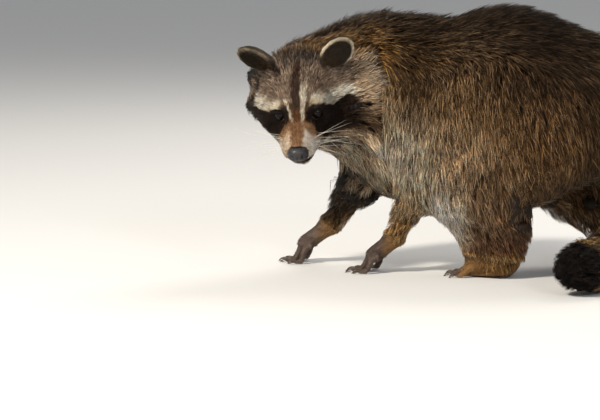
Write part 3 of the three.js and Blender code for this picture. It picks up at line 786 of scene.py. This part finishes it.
# tuft sizes, mm, and how many stand on a square millimetre
forward, upward, sideways = onHead[:, 2], onHead[:, 1], np.abs(onHead[:, 0])
length = valueBy({"trunk": 27, "neck": 24, "ear_": 3.6, "_upper_leg": 24, "_lower_leg": 13, "paw": 2.6,
                  "tail": 17}, 10)
length = spread(length, 100)
faceLength = (2.0 + 1.6 * ramp(32, 6, forward) + 4.5 * ramp(0, -28, forward) + 5 * ramp(-22, -55, forward)
              + 9 * ramp(34, 62, sideways) * ramp(30, 10, upward) * ramp(10, -14, forward)
              + 4 * ramp(-28, -50, upward) * ramp(16, -16, forward))
length = length * (1 - nearHead) + faceLength * nearHead
length = length * (1 - heel) + 9 * heel
length = length * (1 - thin) + np.minimum(length, 3.6) * thin
breadth = 0.26 + 0.022 * np.minimum(length, 26)
density = valueBy({"trunk": 0.61, "neck": 0.54, "ear_": 3.6, "_upper_leg": 0.46, "_lower_leg": 0.60,
                   "paw": 1.2, "tail": 0.33}, 1.0)
density = density * (0.66 + 0.44 * ramp(30, -20, at[:, 1]))    # fewer on the side away from the camera
density = spread(density * (1 - 0.3 * heel), 20)
density = density * (1 - nearHead) + nearHead * np.clip(9.6 / length, 0.8, 3.3)
print("tufts sized")

# the skin as a piece, thinned most where the long coat hides it
triangles = np.concatenate([quads[:, [0, 1, 2]], quads[:, [0, 2, 3]]])
skin = objectOf("skin", meshFrom("skin", points, triangles))
fineArea = np.maximum(thin, nearHead * ramp(-48, -20, forward))
group = skin.vertex_groups.new(name="hidden")
levels = 8                     # steps of weight, from what is hidden most to what is seen most
for step in range(levels):
    chosen = np.flatnonzero((fineArea * (levels - 0.01)).astype(int) == step)
    group.add(chosen.tolist(), 1 - 0.9 * step / (levels - 1), "REPLACE")
thinning = skin.modifiers.new("thinning", "DECIMATE")
thinning.ratio = skinPlan["most"] / len(triangles)
thinning.vertex_group, thinning.vertex_group_factor = "hidden", 6
applied(skin)
skin.vertex_groups.clear()
skinPoints = read(skin.data.vertices, "co", np.float32, 3).astype(float)
skinFaces = read(skin.data.loops, "vertex_index", np.int32, 1).reshape(-1, 3)
tree = treeOf(points)
source = np.array([tree.find(p)[1] for p in skinPoints])
tint, pale = markings(coatTop[source], label[source])
bareShare = onFlesh(label[source], "paw")
furred = ramp(0.5, 4, depth[source])
# the skin's tint darkened where the coat is deep: painted shade in the gaps between tufts
shadedSkinTint = tint * (0.9 - 0.78 * furred)[:, None]
setAttribute(skin.data, "furTint", "FLOAT_COLOR", shadedSkinTint)
setAttribute(skin.data, "bare", "FLOAT", bareShare)
skin.data.shade_smooth()
finished(skin, "skin")
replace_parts(skin, *fleshNames)
print("skin finished:", len(skinFaces), "faces")

# the coat
def scattered(crowd):          # which triangles get a root, and where on each
    a, b, c = (points[triangles[:, k]] for k in (0, 1, 2))
    area = np.linalg.norm(np.cross(b - a, c - a), axis=1) / 2 / mm ** 2
    wanted = area * crowd[triangles].mean(1)
    which = np.repeat(np.arange(len(area)), np.floor(wanted + dice.random(len(area))).astype(int))
    u, v = dice.random((2, len(which)))
    over = u + v > 1
    u[over], v[over] = 1 - u[over], 1 - v[over]
    return which, np.stack([1 - u - v, u, v], 1)


which, shares = scattered(density)


def atRoots(values):
    corner = values[triangles[which]]
    return np.einsum("nk,nk...->n...", shares, corner)


normals = spread(normalsOf(points, quads), 2)
rootAt, rootTop = atRoots(points), atRoots(coatTop)
rootNormal, rootLie = unit(atRoots(normals)), unit(atRoots(lie))
rootDepth, rootLength, rootBreadth = atRoots(depth), atRoots(length), atRoots(breadth)
rootLabel = label[triangles[which, 0]]
headPlace = toHead(rootTop)
eyeGap = np.hypot(np.abs(headPlace[:, 0]) - eyePlan["apart"], (headPlace[:, 1] - eyePlan["up"]) * 1.15)
noseGap = np.linalg.norm((headPlace - nosePlan["at"]) / nosePlan["half"], axis=1)
lipGap = np.abs(overMouth(headPlace) + 0.4)
bald = dict(eye=5.4, nose=1.05, lip=1.5, sole=2.5)    # no roots nearer: in mm, the nose's in its half sizes
bare = ((eyeGap < bald["eye"]) & (headPlace[:, 2] > -8)) | (noseGap < bald["nose"])
bare |= (lipGap < bald["lip"]) & (headPlace[:, 2] > 6) & (np.abs(headPlace[:, 0]) < 22)
bare &= onFlesh(rootLabel, "head", "muzzle", "lower_jaw")
bare |= (rootTop[:, 2] - cadBox[0][2] < bald["sole"] * mm)
kept = ~bare
which, shares = which[kept], shares[kept]
rootAt, rootTop, rootNormal, rootLie = (v[kept] for v in (rootAt, rootTop, rootNormal, rootLie))
rootDepth, rootLength, rootBreadth = (v[kept] for v in (rootDepth, rootLength, rootBreadth))
rootLabel = rootLabel[kept]
count = len(rootAt)
print("roots set:", count)

# each tuft's way, and the gathering of tips into small locks
varied = dict(swing=0.16, length=(0.75, 1.2), rise=(0.74, 1.04), tone=0.34)    # from tuft to tuft
sideWay = np.cross(rootLie, rootNormal)
swing = dice.normal(0, varied["swing"], count)
way = unit(rootLie + sideWay * swing[:, None])
rootLength = rootLength * dice.uniform(*varied["length"], count)
gap = np.clip(((rootTop - rootAt) * rootNormal).sum(1) / mm, 0.6 * rootDepth, 1.5 * rootDepth)
rise = gap * dice.uniform(*varied["rise"], count)
crest = ramp(215, 240, toAnimal(rootTop)[:, 2]) * ramp(20, -40, toAnimal(rootTop)[:, 0])
standing = onFlesh(rootLabel, "trunk", "neck", "head") * crest
rise = rise * (1 + 0.5 * standing * dice.uniform(0, 1, count))
reach = rootLength * (1 - 0.35 * standing)
tipAt = rootAt + way * (reach * mm)[:, None] + rootNormal * (rise * mm)[:, None]


def gathered(tips, share, pull):  # tips drawn towards the nearest of a share of them
    seeds = tips[dice.random(len(tips)) < share]
    tree = treeOf(seeds)
    near = np.array([tree.find(p)[0] for p in tips])
    apart = np.linalg.norm(near - tips, axis=1)
    return tips + (near - tips) * (pull * ramp(9 * mm, 6 * mm, apart))[:, None]


lockPlan = dict(over=9, seeds=0.05, pull=0.72)       # tufts over this many mm draw towards each other
long = rootLength > lockPlan["over"]
tipAt[long] = gathered(tipAt[long], lockPlan["seeds"], lockPlan["pull"] * dice.random(long.sum()) ** 0.7)
topTree = BVHTree.FromPolygons(coatTop.tolist(), quads.tolist())


def overCoat(tips):            # how far outside the coat's surface, and the way out
    hits = [topTree.find_nearest(p) for p in tips]
    near, facing = np.array([hit[0] for hit in hits]), np.array([hit[1] for hit in hits])
    return ((tips - near) * facing).sum(1), facing


allowed = (0.6 + 0.05 * rootLength + 9 * standing * dice.uniform(0, 1, count) ** 1.5) * mm
above, facing = overCoat(tipAt)
tipAt = tipAt - facing * np.clip(above - allowed, 0, 14 * mm)[:, None]
whole = tipAt - rootAt
most = 1.2 * np.hypot(reach, rise) * mm
tipAt = rootAt + whole * np.minimum(1, most / np.linalg.norm(whole, axis=1))[:, None]
strayOver = 3 * mm             # tufts whose tips stand out by more than this are left out
stray = overCoat(tipAt)[0] > allowed + strayOver
tuftBend = dict(along=0.40, up=0.76)      # where a tuft bends, as shares of its reach and rise
kneeAt = rootAt + way * (tuftBend["along"] * reach * mm)[:, None]
kneeAt = kneeAt + rootNormal * (tuftBend["up"] * rise * mm)[:, None]

# the colours along each tuft
seenAt = rootTop + way * (0.55 * reach * mm)[:, None]
rootTint, rootPale = markings(seenAt, rootLabel)
onFace = ramp(14, 7, rootLength) * onFlesh(rootLabel, "head", "muzzle", "lower_jaw")
# uneven patches: each with its strength, its size in mm and its seed
patches = 0.20 * mottled(rootTop / mm, 16, 3) + 0.16 * mottled(rootTop / mm, 6, 4)
patches = patches + 0.34 * onFace * mottled(rootTop / mm, 2.4, 5)
tone = np.exp(dice.normal(0, varied["tone"], count) + patches)[:, None]
isPale = (dice.random(count) < rootPale)[:, None]
bright = rootTint.max(1)[:, None]
contrast = ramp(5, 12, rootLength)[:, None]          # short fur is more even than long
paleMid, darkMid = 1.2 + 0.3 * contrast, 0.75 - 0.2 * contrast
paleTip, darkTip = 1.8 + 1.3 * contrast, 0.48 - 0.2 * contrast
creamy = rootTint.mean(1)[:, None] * np.array([1.25, 1.0, 0.72])
midTint = rootTint * np.where(isPale, paleMid, darkMid) * tone
paleTint = (0.5 * rootTint + 0.5 * creamy) * paleTip + 0.04 * bright + 0.006
tipTint = np.where(isPale, np.minimum(paleTint, 0.85), rootTint * darkTip) * tone
rootTone = rootTint * (0.45 - 0.24 * contrast) * tone


def tufts(chosen):             # a bent spindle each: a root, a ring at the bend and a tip
    base, knee, tip = rootAt[chosen], kneeAt[chosen], tipAt[chosen]
    normal, broad = rootNormal[chosen], rootBreadth[chosen][:, None] * mm
    out = unit(np.cross(way[chosen], normal))
    shape = [base - normal * (0.6 * mm), knee - out * broad / 2, knee + out * broad / 2,
             knee + normal * broad * 0.5, tip]
    return np.stack(shape, 1), spindleFaces, spindleSpots


def spikes(chosen):            # a straight three-sided spike each
    base, tip = rootAt[chosen], tipAt[chosen]
    normal, broad = rootNormal[chosen], rootBreadth[chosen][:, None] * mm
    out = unit(np.cross(way[chosen], normal))
    low = base - normal * (0.3 * mm)
    shape = np.stack([low - out * broad / 2, low + out * broad / 2, low + normal * broad * 0.9, tip], 1)
    return shape, spikeFaces, spikeSpots


# faces of one tuft, and each corner's place in its patch: across, and along from root to tip
spindleFaces, spindleSpots, spikeFaces, spikeSpots = [], [], [], []
for k in range(3):
    after = (k + 1) % 3
    spindleFaces += [[0, 1 + k, 1 + after], [1 + k, 4, 1 + after]]
    spindleSpots += [[((k + 0.5) / 3, 0), (k / 3, 0.45), ((k + 1) / 3, 0.45)],
                     [(k / 3, 0.45), ((k + 0.5) / 3, 1), ((k + 1) / 3, 0.45)]]
    spikeFaces.append([k, 3, after])
    spikeSpots.append([(k / 3, 0), ((k + 0.5) / 3, 1), ((k + 1) / 3, 0)])
spikeFaces.append([0, 1, 2])
spikeSpots.append([(0, 0), (1, 0), (0.5, 0.1)])
heightsOf = {5: [0, 0.45, 0.45, 0.45, 1], 4: [0, 0, 0, 1]}


def flattened(region):         # a small copy of part of the skin, laid out flat
    inside = np.isin(skinFaces, np.flatnonzero(region[source])).any(1)
    used, faces = np.unique(skinFaces[inside], return_inverse=True)
    small = objectOf("flat", meshFrom("flat", skinPoints[used], faces.reshape(-1, 3)))
    thinner = small.modifiers.new("thinner", "DECIMATE")
    thinner.ratio = min(1, flatFaces / inside.sum())
    applied(small)
    bpy.ops.object.select_all(action="DESELECT")
    bpy.context.view_layer.objects.active = small
    small.select_set(True)
    bpy.ops.object.mode_set(mode="EDIT")
    bpy.ops.mesh.select_all(action="SELECT")
    bpy.ops.uv.smart_project(angle_limit=math.radians(66), island_margin=0.003)
    bpy.ops.object.mode_set(mode="OBJECT")
    at = read(small.data.vertices, "co", np.float32, 3).astype(float)
    corner = read(small.data.loops, "vertex_index", np.int32, 1).reshape(-1, 3)
    flat = read(small.data.uv_layers.active.uv, "vector", np.float32, 2).astype(float).reshape(-1, 3, 2)
    bpy.data.objects.remove(small)
    return at, corner, flat


def flatPlaces(where, region):  # each root's place on the flattened skin
    at, corner, flat = flattened(region)
    tree = BVHTree.FromPolygons(at.tolist(), corner.tolist())
    found = [tree.find_nearest(p) for p in where]
    face = np.array([hit[2] for hit in found])
    spot = np.array([hit[0] for hit in found])
    a, b, c = (at[corner[face, k]] for k in (0, 1, 2))
    e, f, g = b - a, c - a, spot - a
    ee, ef, ff, ge, gf = ((u * v).sum(1) for u, v in ((e, e), (e, f), (f, f), (g, e), (g, f)))
    under = np.maximum(ee * ff - ef * ef, 1e-18)
    v, w = (ff * ge - ef * gf) / under, (ee * gf - ef * ge) / under
    weights = np.clip(np.stack([1 - v - w, v, w], 1), 0, 1)
    return np.einsum("nk,nkd->nd", weights / weights.sum(1)[:, None], flat[face])


patchSize = 0.003              # each tuft's patch on the coat's map
spikesBelow = 7                # mm: shorter tufts are straight spikes
fewest = 60                    # tufts that are worth a piece
flatFaces = 2500


def coatPiece(name, chosen, region, form):
    shape, pattern, spots = form(chosen)
    shape[..., 2] = np.maximum(shape[..., 2], cadBox[0][2] + floorGap["coat"])
    pattern = np.array(pattern)
    total, each = shape.shape[:2]
    mesh = meshFrom(name, shape.reshape(-1, 3),
                    (np.arange(total)[:, None, None] * each + pattern).reshape(-1, 3))
    along = np.tile(heightsOf[each], total)
    for key, colours in (("furRoot", rootTone), ("furTint", midTint), ("furTip", tipTint)):
        setAttribute(mesh, key, "FLOAT_COLOR", np.repeat(np.clip(colours[chosen], 0, 1), each, 0))
    setAttribute(mesh, "along", "FLOAT", along)
    centre = flatPlaces(rootAt[chosen], region) * (1 - 2 * patchSize) + patchSize
    spots = centre[:, None, None] + (np.array(spots) - 0.5) * patchSize
    mesh.uv_layers.new(name="OFBake").uv.foreach_set("vector", spots.astype(np.float32).ravel())
    piece = finished(objectOf(name, mesh), "fur")
    print(name, total, "tufts,", total * len(pattern), "faces")
    return piece


leftSide, ahead = toAnimal(coatTop)[:, 1] < 0, toAnimal(coatTop)[:, 0] < 45
trunkPart, neckPart = onFlesh(label, "trunk"), onFlesh(label, "neck")
headPart = onFlesh(label, "head", "muzzle", "lower_jaw", "ear")
frontFace = headPart & (forward > -22)
paws = onFlesh(label, "paw")
hindPart, forePart = onFlesh(label, "hind") & ~paws, onFlesh(label, "fore") & ~paws
thighPart, tailPart = hindPart & onFlesh(label, "upper_leg"), onFlesh(label, "tail")
tailShare = np.zeros(len(points))
tailShare[tailPart] = alongTail(coatTop[tailPart])[0] / tailAlong[-1]
regions = {
    "coatFace": frontFace, "coatCrown": headPart & ~frontFace, "coatNeck": neckPart,
    "coatFlankLeftFore": trunkPart & leftSide & ahead, "coatFlankLeftHind": trunkPart & leftSide & ~ahead,
    "coatFlankRightFore": trunkPart & ~leftSide & ahead, "coatFlankRightHind": trunkPart & ~leftSide & ~ahead,
    "coatThighLeft": thighPart & leftSide, "coatThighRight": thighPart & ~leftSide,
    "coatShins": hindPart & ~thighPart,
    "coatForeLegLeft": forePart & leftSide, "coatForeLegRight": forePart & ~leftSide,
    "coatTailRoot": tailPart & (tailShare < 0.5), "coatTailEnd": tailPart & (tailShare >= 0.5),
    "coatPaws": paws,
}
coatFaces = 0
for name, region in regions.items():
    mine = region[triangles[which, 0]] & ~stray
    slot = "paw" if name == "coatPaws" else "coat"
    short = rootLength < spikesBelow
    for suffix, chosen, form in (("", mine & ~short, tufts), ("Short", mine & short, spikes)):
        chosen = np.flatnonzero(chosen)
        if len(chosen) > fewest:
            piece = coatPiece(name + suffix, chosen, region, form)
            coatFaces += len(piece.data.polygons)
print("coat made:", coatFaces, "faces")

# eyes and their lids
def roundForm(rows, columns, place):   # a closed form from place(angle from the pole, angle round it)
    theta, phi = np.meshgrid(np.linspace(0, math.pi, rows + 1)[1:-1],
                             np.arange(columns) * 2 * math.pi / columns, indexing="ij")
    body = place(theta.ravel(), phi.ravel())
    ends = place(np.array([0, math.pi]), np.zeros(2))
    made = np.concatenate([ends[:1], body, ends[1:]])
    faces = []
    for j in range(columns):
        k = (j + 1) % columns
        faces.append([0, 1 + j, 1 + k])
        for i in range(rows - 2):
            a, b = 1 + i * columns + j, 1 + i * columns + k
            faces += [[a, a + columns, b + columns], [a, b + columns, b]]
        a, b = 1 + (rows - 2) * columns + j, 1 + (rows - 2) * columns + k
        faces.append([a, len(made) - 1, b])
    return made, np.array(faces)


def loopForm(rows, columns, place):     # a closed ring: both ways round meet
    r, c = np.meshgrid(np.arange(rows), np.arange(columns), indexing="ij")
    made = place(r.ravel(), c.ravel() * 2 * math.pi / columns)
    a, b = (r * columns + c).ravel(), (r * columns + (c + 1) % columns).ravel()
    d, e = (((r + 1) % rows) * columns + c).ravel(), (((r + 1) % rows) * columns + (c + 1) % columns).ravel()
    return made, np.concatenate([np.stack([a, d, e], 1), np.stack([a, e, b], 1)])


def faceOutwards(mesh):
    edit = bmesh.new()
    edit.from_mesh(mesh)
    bmesh.ops.recalc_face_normals(edit, faces=edit.faces)
    edit.to_mesh(mesh)
    edit.free()


lidPlan = dict(wide=54, high=41, low=37, outer=7.0, back=115, almond=1.8)   # degrees and mm
for side, word in ((1, "left"), (-1, "right")):
    gaze = gazeWay[side]
    outerWay = unit(np.cross([0, 1, 0], gaze)) * side
    upEye = np.cross(gaze, outerWay) * side
    centre = eyeCentre[side]

    def onEye(theta, phi, radius):      # phi 0 is the outer corner, a quarter turn is up
        flat = np.cos(phi)[:, None] * outerWay + np.sin(phi)[:, None] * upEye
        ray = np.cos(theta)[:, None] * gaze + np.sin(theta)[:, None] * flat
        return fromHead(centre + ray * np.reshape(radius, (-1, 1)))

    def ballPlace(theta, phi):
        cornea = 1 + 0.035 * np.exp(-(theta / 0.55) ** 2)
        return onEye(theta, phi, eyePlan["radius"] * cornea)

    ball, faces = roundForm(36, 48, ballPlace)
    mesh = meshFrom("eyeball_" + word, ball, faces)
    faceOutwards(mesh)
    rays = unit(toHead(ball) - centre) @ gaze
    setAttribute(mesh, "fromPupil", "FLOAT", np.arccos(np.clip(rays, -1, 1)))
    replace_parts(finished(objectOf("eyeball_" + word, mesh), "eye"), "eye_" + word)

    lidRows = 9                  # over the outside to the edge, round it, and back along the inside

    def lidPlace(row, phi):
        high = np.where(np.sin(phi) > 0, lidPlan["high"], lidPlan["low"])
        power = lidPlan["almond"]
        edge = np.radians(((np.abs(np.cos(phi)) / lidPlan["wide"]) ** power
                           + (np.abs(np.sin(phi)) / high) ** power) ** (-1 / power))
        out = row < lidRows
        share = np.where(out, 1 - row / (lidRows - 1), (row - lidRows) / (lidRows - 1))
        theta = edge + (math.radians(lidPlan["back"]) - edge) * share ** 1.6
        thick = (lidPlan["outer"] - eyePlan["radius"] * 1.03) * (0.45 + 0.55 * ramp(0, 0.12, share))
        heavy = 0.35 * np.maximum(np.sin(phi), 0) * ramp(0.02, 0.2, share)
        return onEye(theta, phi, eyePlan["radius"] * 1.03 + np.where(out, thick + heavy, 0))

    made, faces = loopForm(2 * lidRows, 64, lidPlace)
    mesh = meshFrom("eyelids_" + word, made, faces)
    faceOutwards(mesh)
    finished(objectOf("eyelids_" + word, mesh), "lid")
print("eyes and lids made")

# nose pad
noseGrid = (70, 96)
nostrils = [(unit([s * 0.60, 0.02, 0.80]), 0.30, 3.0) for s in (1, -1)]     # way, width and depth in mm
nostrils += [(unit([s * 0.93, -0.16, 0.42]), 0.22, 1.7) for s in (1, -1)]


def nosePlace(theta, phi):
    ray = np.stack([np.sin(theta) * np.cos(phi), np.sin(theta) * np.sin(phi), np.cos(theta)], 1)
    boxy = np.sign(ray) * np.abs(ray) ** np.array([0.86, 0.92, 0.9])
    at = boxy * nosePlan["half"]
    at[:, 0] *= 1 - 0.10 * ray[:, 1]
    at[:, 2] -= 1.1 * np.maximum(-ray[:, 1], 0) ** 1.5
    for way, size, deep in nostrils:
        at -= ray * (deep * np.exp(-((ray - way) ** 2).sum(1) / size ** 2))[:, None]
    cleft = np.exp(-(at[:, 0] / 0.6) ** 2) * ramp(0.25, -0.15, ray[:, 1]) * ramp(0.1, 0.4, ray[:, 2])
    at -= ray * (0.8 * cleft)[:, None]
    return fromHead(at + nosePlan["at"])


made, faces = roundForm(*noseGrid, nosePlace)
mesh = meshFrom("nose_pad", made, faces)
faceOutwards(mesh)
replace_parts(finished(objectOf("nose_pad", mesh), "nose"), "nose")
print("nose made")


# whiskers and claws: tapering hairs grown along guide lines by geometry nodes
def taperTree():
    tree = bpy.data.node_groups.new("taper", "GeometryNodeTree")
    face = tree.interface
    face.new_socket("Guides", in_out="INPUT", socket_type="NodeSocketGeometry")
    for name, value in (("Root radius", 0.0003), ("Tip radius", 0.00005), ("Taper", 1.0)):
        face.new_socket(name, in_out="INPUT", socket_type="NodeSocketFloat").default_value = value
    face.new_socket("Sides", in_out="INPUT", socket_type="NodeSocketInt").default_value = 6
    face.new_socket("Finish", in_out="INPUT", socket_type="NodeSocketMaterial")
    face.new_socket("Hairs", in_out="OUTPUT", socket_type="NodeSocketGeometry")

    def add(kind, inputs, **settings):
        made = tree.nodes.new(kind)
        for key, value in settings.items():
            setattr(made, key, value)
        for key, value in inputs.items():
            if isinstance(value, bpy.types.NodeSocket):
                tree.links.new(value, made.inputs[key])
            else:
                made.inputs[key].default_value = value
        return made

    given = tree.nodes.new("NodeGroupInput").outputs
    curve = add("GeometryNodeMeshToCurve", {"Mesh": given["Guides"]}).outputs[0]
    factor = add("GeometryNodeSplineParameter", {}).outputs["Factor"]
    bent = add("ShaderNodeMath", {0: factor, 1: given["Taper"]}, operation="POWER").outputs[0]
    radius = add("ShaderNodeMapRange", {"Value": bent, "To Min": given["Root radius"],
                                        "To Max": given["Tip radius"]})
    kept = add("GeometryNodeStoreNamedAttribute", {"Geometry": curve, "Name": "along", "Value": factor},
               data_type="FLOAT", domain="POINT").outputs[0]
    sized = add("GeometryNodeSetCurveRadius", {"Curve": kept, "Radius": radius.outputs[0]}).outputs[0]
    ring = add("GeometryNodeCurvePrimitiveCircle", {"Resolution": given["Sides"], "Radius": 1.0}).outputs[0]
    tube = add("GeometryNodeCurveToMesh", {"Curve": sized, "Profile Curve": ring, "Fill Caps": True})
    if "Scale" in tube.inputs:
        tree.links.new(radius.outputs[0], tube.inputs["Scale"])
    smooth = add("GeometryNodeSetShadeSmooth", {"Geometry": tube.outputs[0]}).outputs[0]
    whole = add("GeometryNodeRealizeInstances", {"Geometry": smooth}).outputs[0]
    painted = add("GeometryNodeSetMaterial", {"Geometry": whole, "Material": given["Finish"]}).outputs[0]
    tree.links.new(painted, tree.nodes.new("NodeGroupOutput").inputs[0])
    return tree


taper = taperTree()


def grown(name, lines, finish, slot, **sizes):
    each = lines.shape[1]
    mesh = bpy.data.meshes.new(name)
    starts = np.arange(len(lines))[:, None] * each + np.arange(each - 1)
    edges = np.stack([starts, starts + 1], 2).reshape(-1, 2)
    mesh.from_pydata(lines.reshape(-1, 3).tolist(), edges.tolist(), [])
    piece = objectOf(name, mesh)
    grow = piece.modifiers.new("grow", "NODES")
    grow.node_group = taper
    for item in taper.interface.items_tree:
        if item.in_out == "INPUT" and item.name in sizes:
            grow[item.identifier] = sizes[item.name]
        elif item.name == "Finish":
            grow[item.identifier] = finishes[finish]
    applied(piece)
    faceOutwards(piece.data)
    return finished(piece, finish)


skinTree = BVHTree.FromPolygons(skinPoints.tolist(), skinFaces.tolist())
whiskerPlan = dict(rows=((-16, 17, 27), (-19.5, 15, 31), (-23, 16, 32), (-26, 20, 31)), each=3, steps=14)
lines = []
for side in (1, -1):
    for level, (height, first, last) in enumerate(whiskerPlan["rows"]):
        for n in range(whiskerPlan["each"]):
            ahead = first + (last - first) * (n + 0.5 * (level % 2)) / (whiskerPlan["each"] - 1)
            origin = fromHead((side * 40, height, ahead))
            hit = skinTree.ray_cast(Vector(origin), Vector(fromHead((0, height, ahead)) - origin))
            root = toHead(np.array(hit[0]))
            reach = dice.uniform(34, 56) * (1 - 0.35 * n / whiskerPlan["each"])
            start = unit(np.array([side * 1.0, 0.34 - 0.24 * level, 0.1 - 0.2 * n]) + dice.normal(0, 0.09, 3))
            droop = np.array([-side * 0.10, -0.35, -0.55]) + dice.normal(0, 0.12, 3)
            t = np.linspace(0, 1, whiskerPlan["steps"])[:, None]
            lines.append(fromHead(root - start * 1.0 + reach * (start * t + droop * 0.5 * t * t)))
grown("whiskers", np.array(lines), "bristle", "coat",
      **{"Root radius": 0.17 * mm, "Tip radius": 0.04 * mm, "Taper": 1.2, "Sides": 6})

digits = ((0.72, 24, 5), (0.92, 9, 1.5), (1, 1, 0), (0.95, -8, 1), (0.8, -22, 5))   # length, turn, set back
toeRows = {                    # knuckles, heading, thumb side, reach and thickness in mm
    "fore_left": ((-45, -46, 18), 180, -1, 26, 4.2), "fore_right": ((-134, 17, 20), 184, 1, 26, 4.2),
    "hind_left": ((56, -50, 10), 177, -1, 22, 4.5), "hind_right": ((163, 46, 10), 183, 1, 22, 4.5),
}
lines = []
for knuckles, heading, inner, reach, thick in toeRows.values():
    fore = np.array([math.cos(math.radians(heading)), math.sin(math.radians(heading)), 0])
    beside = np.cross([0, 0, 1], fore) * inner
    for n, (size, bend, back) in enumerate(digits):
        angle = math.radians(heading + bend * inner)
        way = np.array([math.cos(angle), math.sin(angle), 0])
        start = np.array(knuckles) + beside * (2 - n) * 1.85 * thick - fore * back
        tip = reach * size
        spots = [(tip - 0.9 * thick, 0.62 * thick), (tip + 0.25 * thick, 0.92 * thick),
                 (tip + 1.1 * thick, 0.74 * thick), (tip + 1.75 * thick, 0.10 * thick)]
        knots = np.array([start * [1, 1, 0] + way * a + [0, 0, max(h, 0.5)] for a, h in spots])
        lines.append(fromAnimal(smoothLine(knots, 5)))
grown("claws", np.array(lines), "claw", "paw",
      **{"Root radius": 1.55 * mm, "Tip radius": 0.22 * mm, "Taper": 1.3, "Sides": 14})
print("whiskers and claws made")

# floor and light
floorFinish = Finish("floor", {"Specular IOR Level": 0.2})
floorFinish.paint(Base_Color=(0.80, 0.79, 0.77, 1), Roughness=0.9)
half = 30                      # m
corners = np.array([(-half, -half, 0), (half, -half, 0), (half, half, 0), (-half, half, 0)])
floor = objectOf("floor", meshFrom("floor", corners, np.array([[0, 1, 2, 3]])))
floor.data.materials.append(floorFinish.material)
world = bpy.data.worlds.new("studio")
world.use_nodes = True
world.node_tree.nodes["Background"].inputs[0].default_value = (0.82, 0.84, 0.87, 1)
world.node_tree.nodes["Background"].inputs[1].default_value = 0.42
bpy.context.scene.world = world
lights = {                     # from the animal's middle: place in m, size in m, power in W, colour
    "key": ((-1.1, -1.9, 2.0), 0.45, 86, (1.0, 0.93, 0.82)),
    "fill": ((1.5, -2.2, 1.15), 0.6, 16, (0.92, 0.95, 1.0)),
    "back": ((0.6, 2.0, 1.9), 1.4, 34, (1.0, 0.95, 0.88)),
}
target = Vector(fromAnimal((20, -20, 130)))
for name, (place, size, power, colour) in lights.items():
    lamp = bpy.data.objects.new(name, bpy.data.lights.new(name, "AREA"))
    lamp.data.shape, lamp.data.size = "DISK", size
    lamp.data.energy, lamp.data.color = power, colour
    lamp.location = target + Vector(place)
    lamp.rotation_mode = "QUATERNION"
    lamp.rotation_quaternion = (-Vector(place)).to_track_quat("-Z", "Y")
    bpy.context.scene.collection.objects.link(lamp)
bpy.context.scene.view_settings.view_transform = "Standard"
print("studio set")
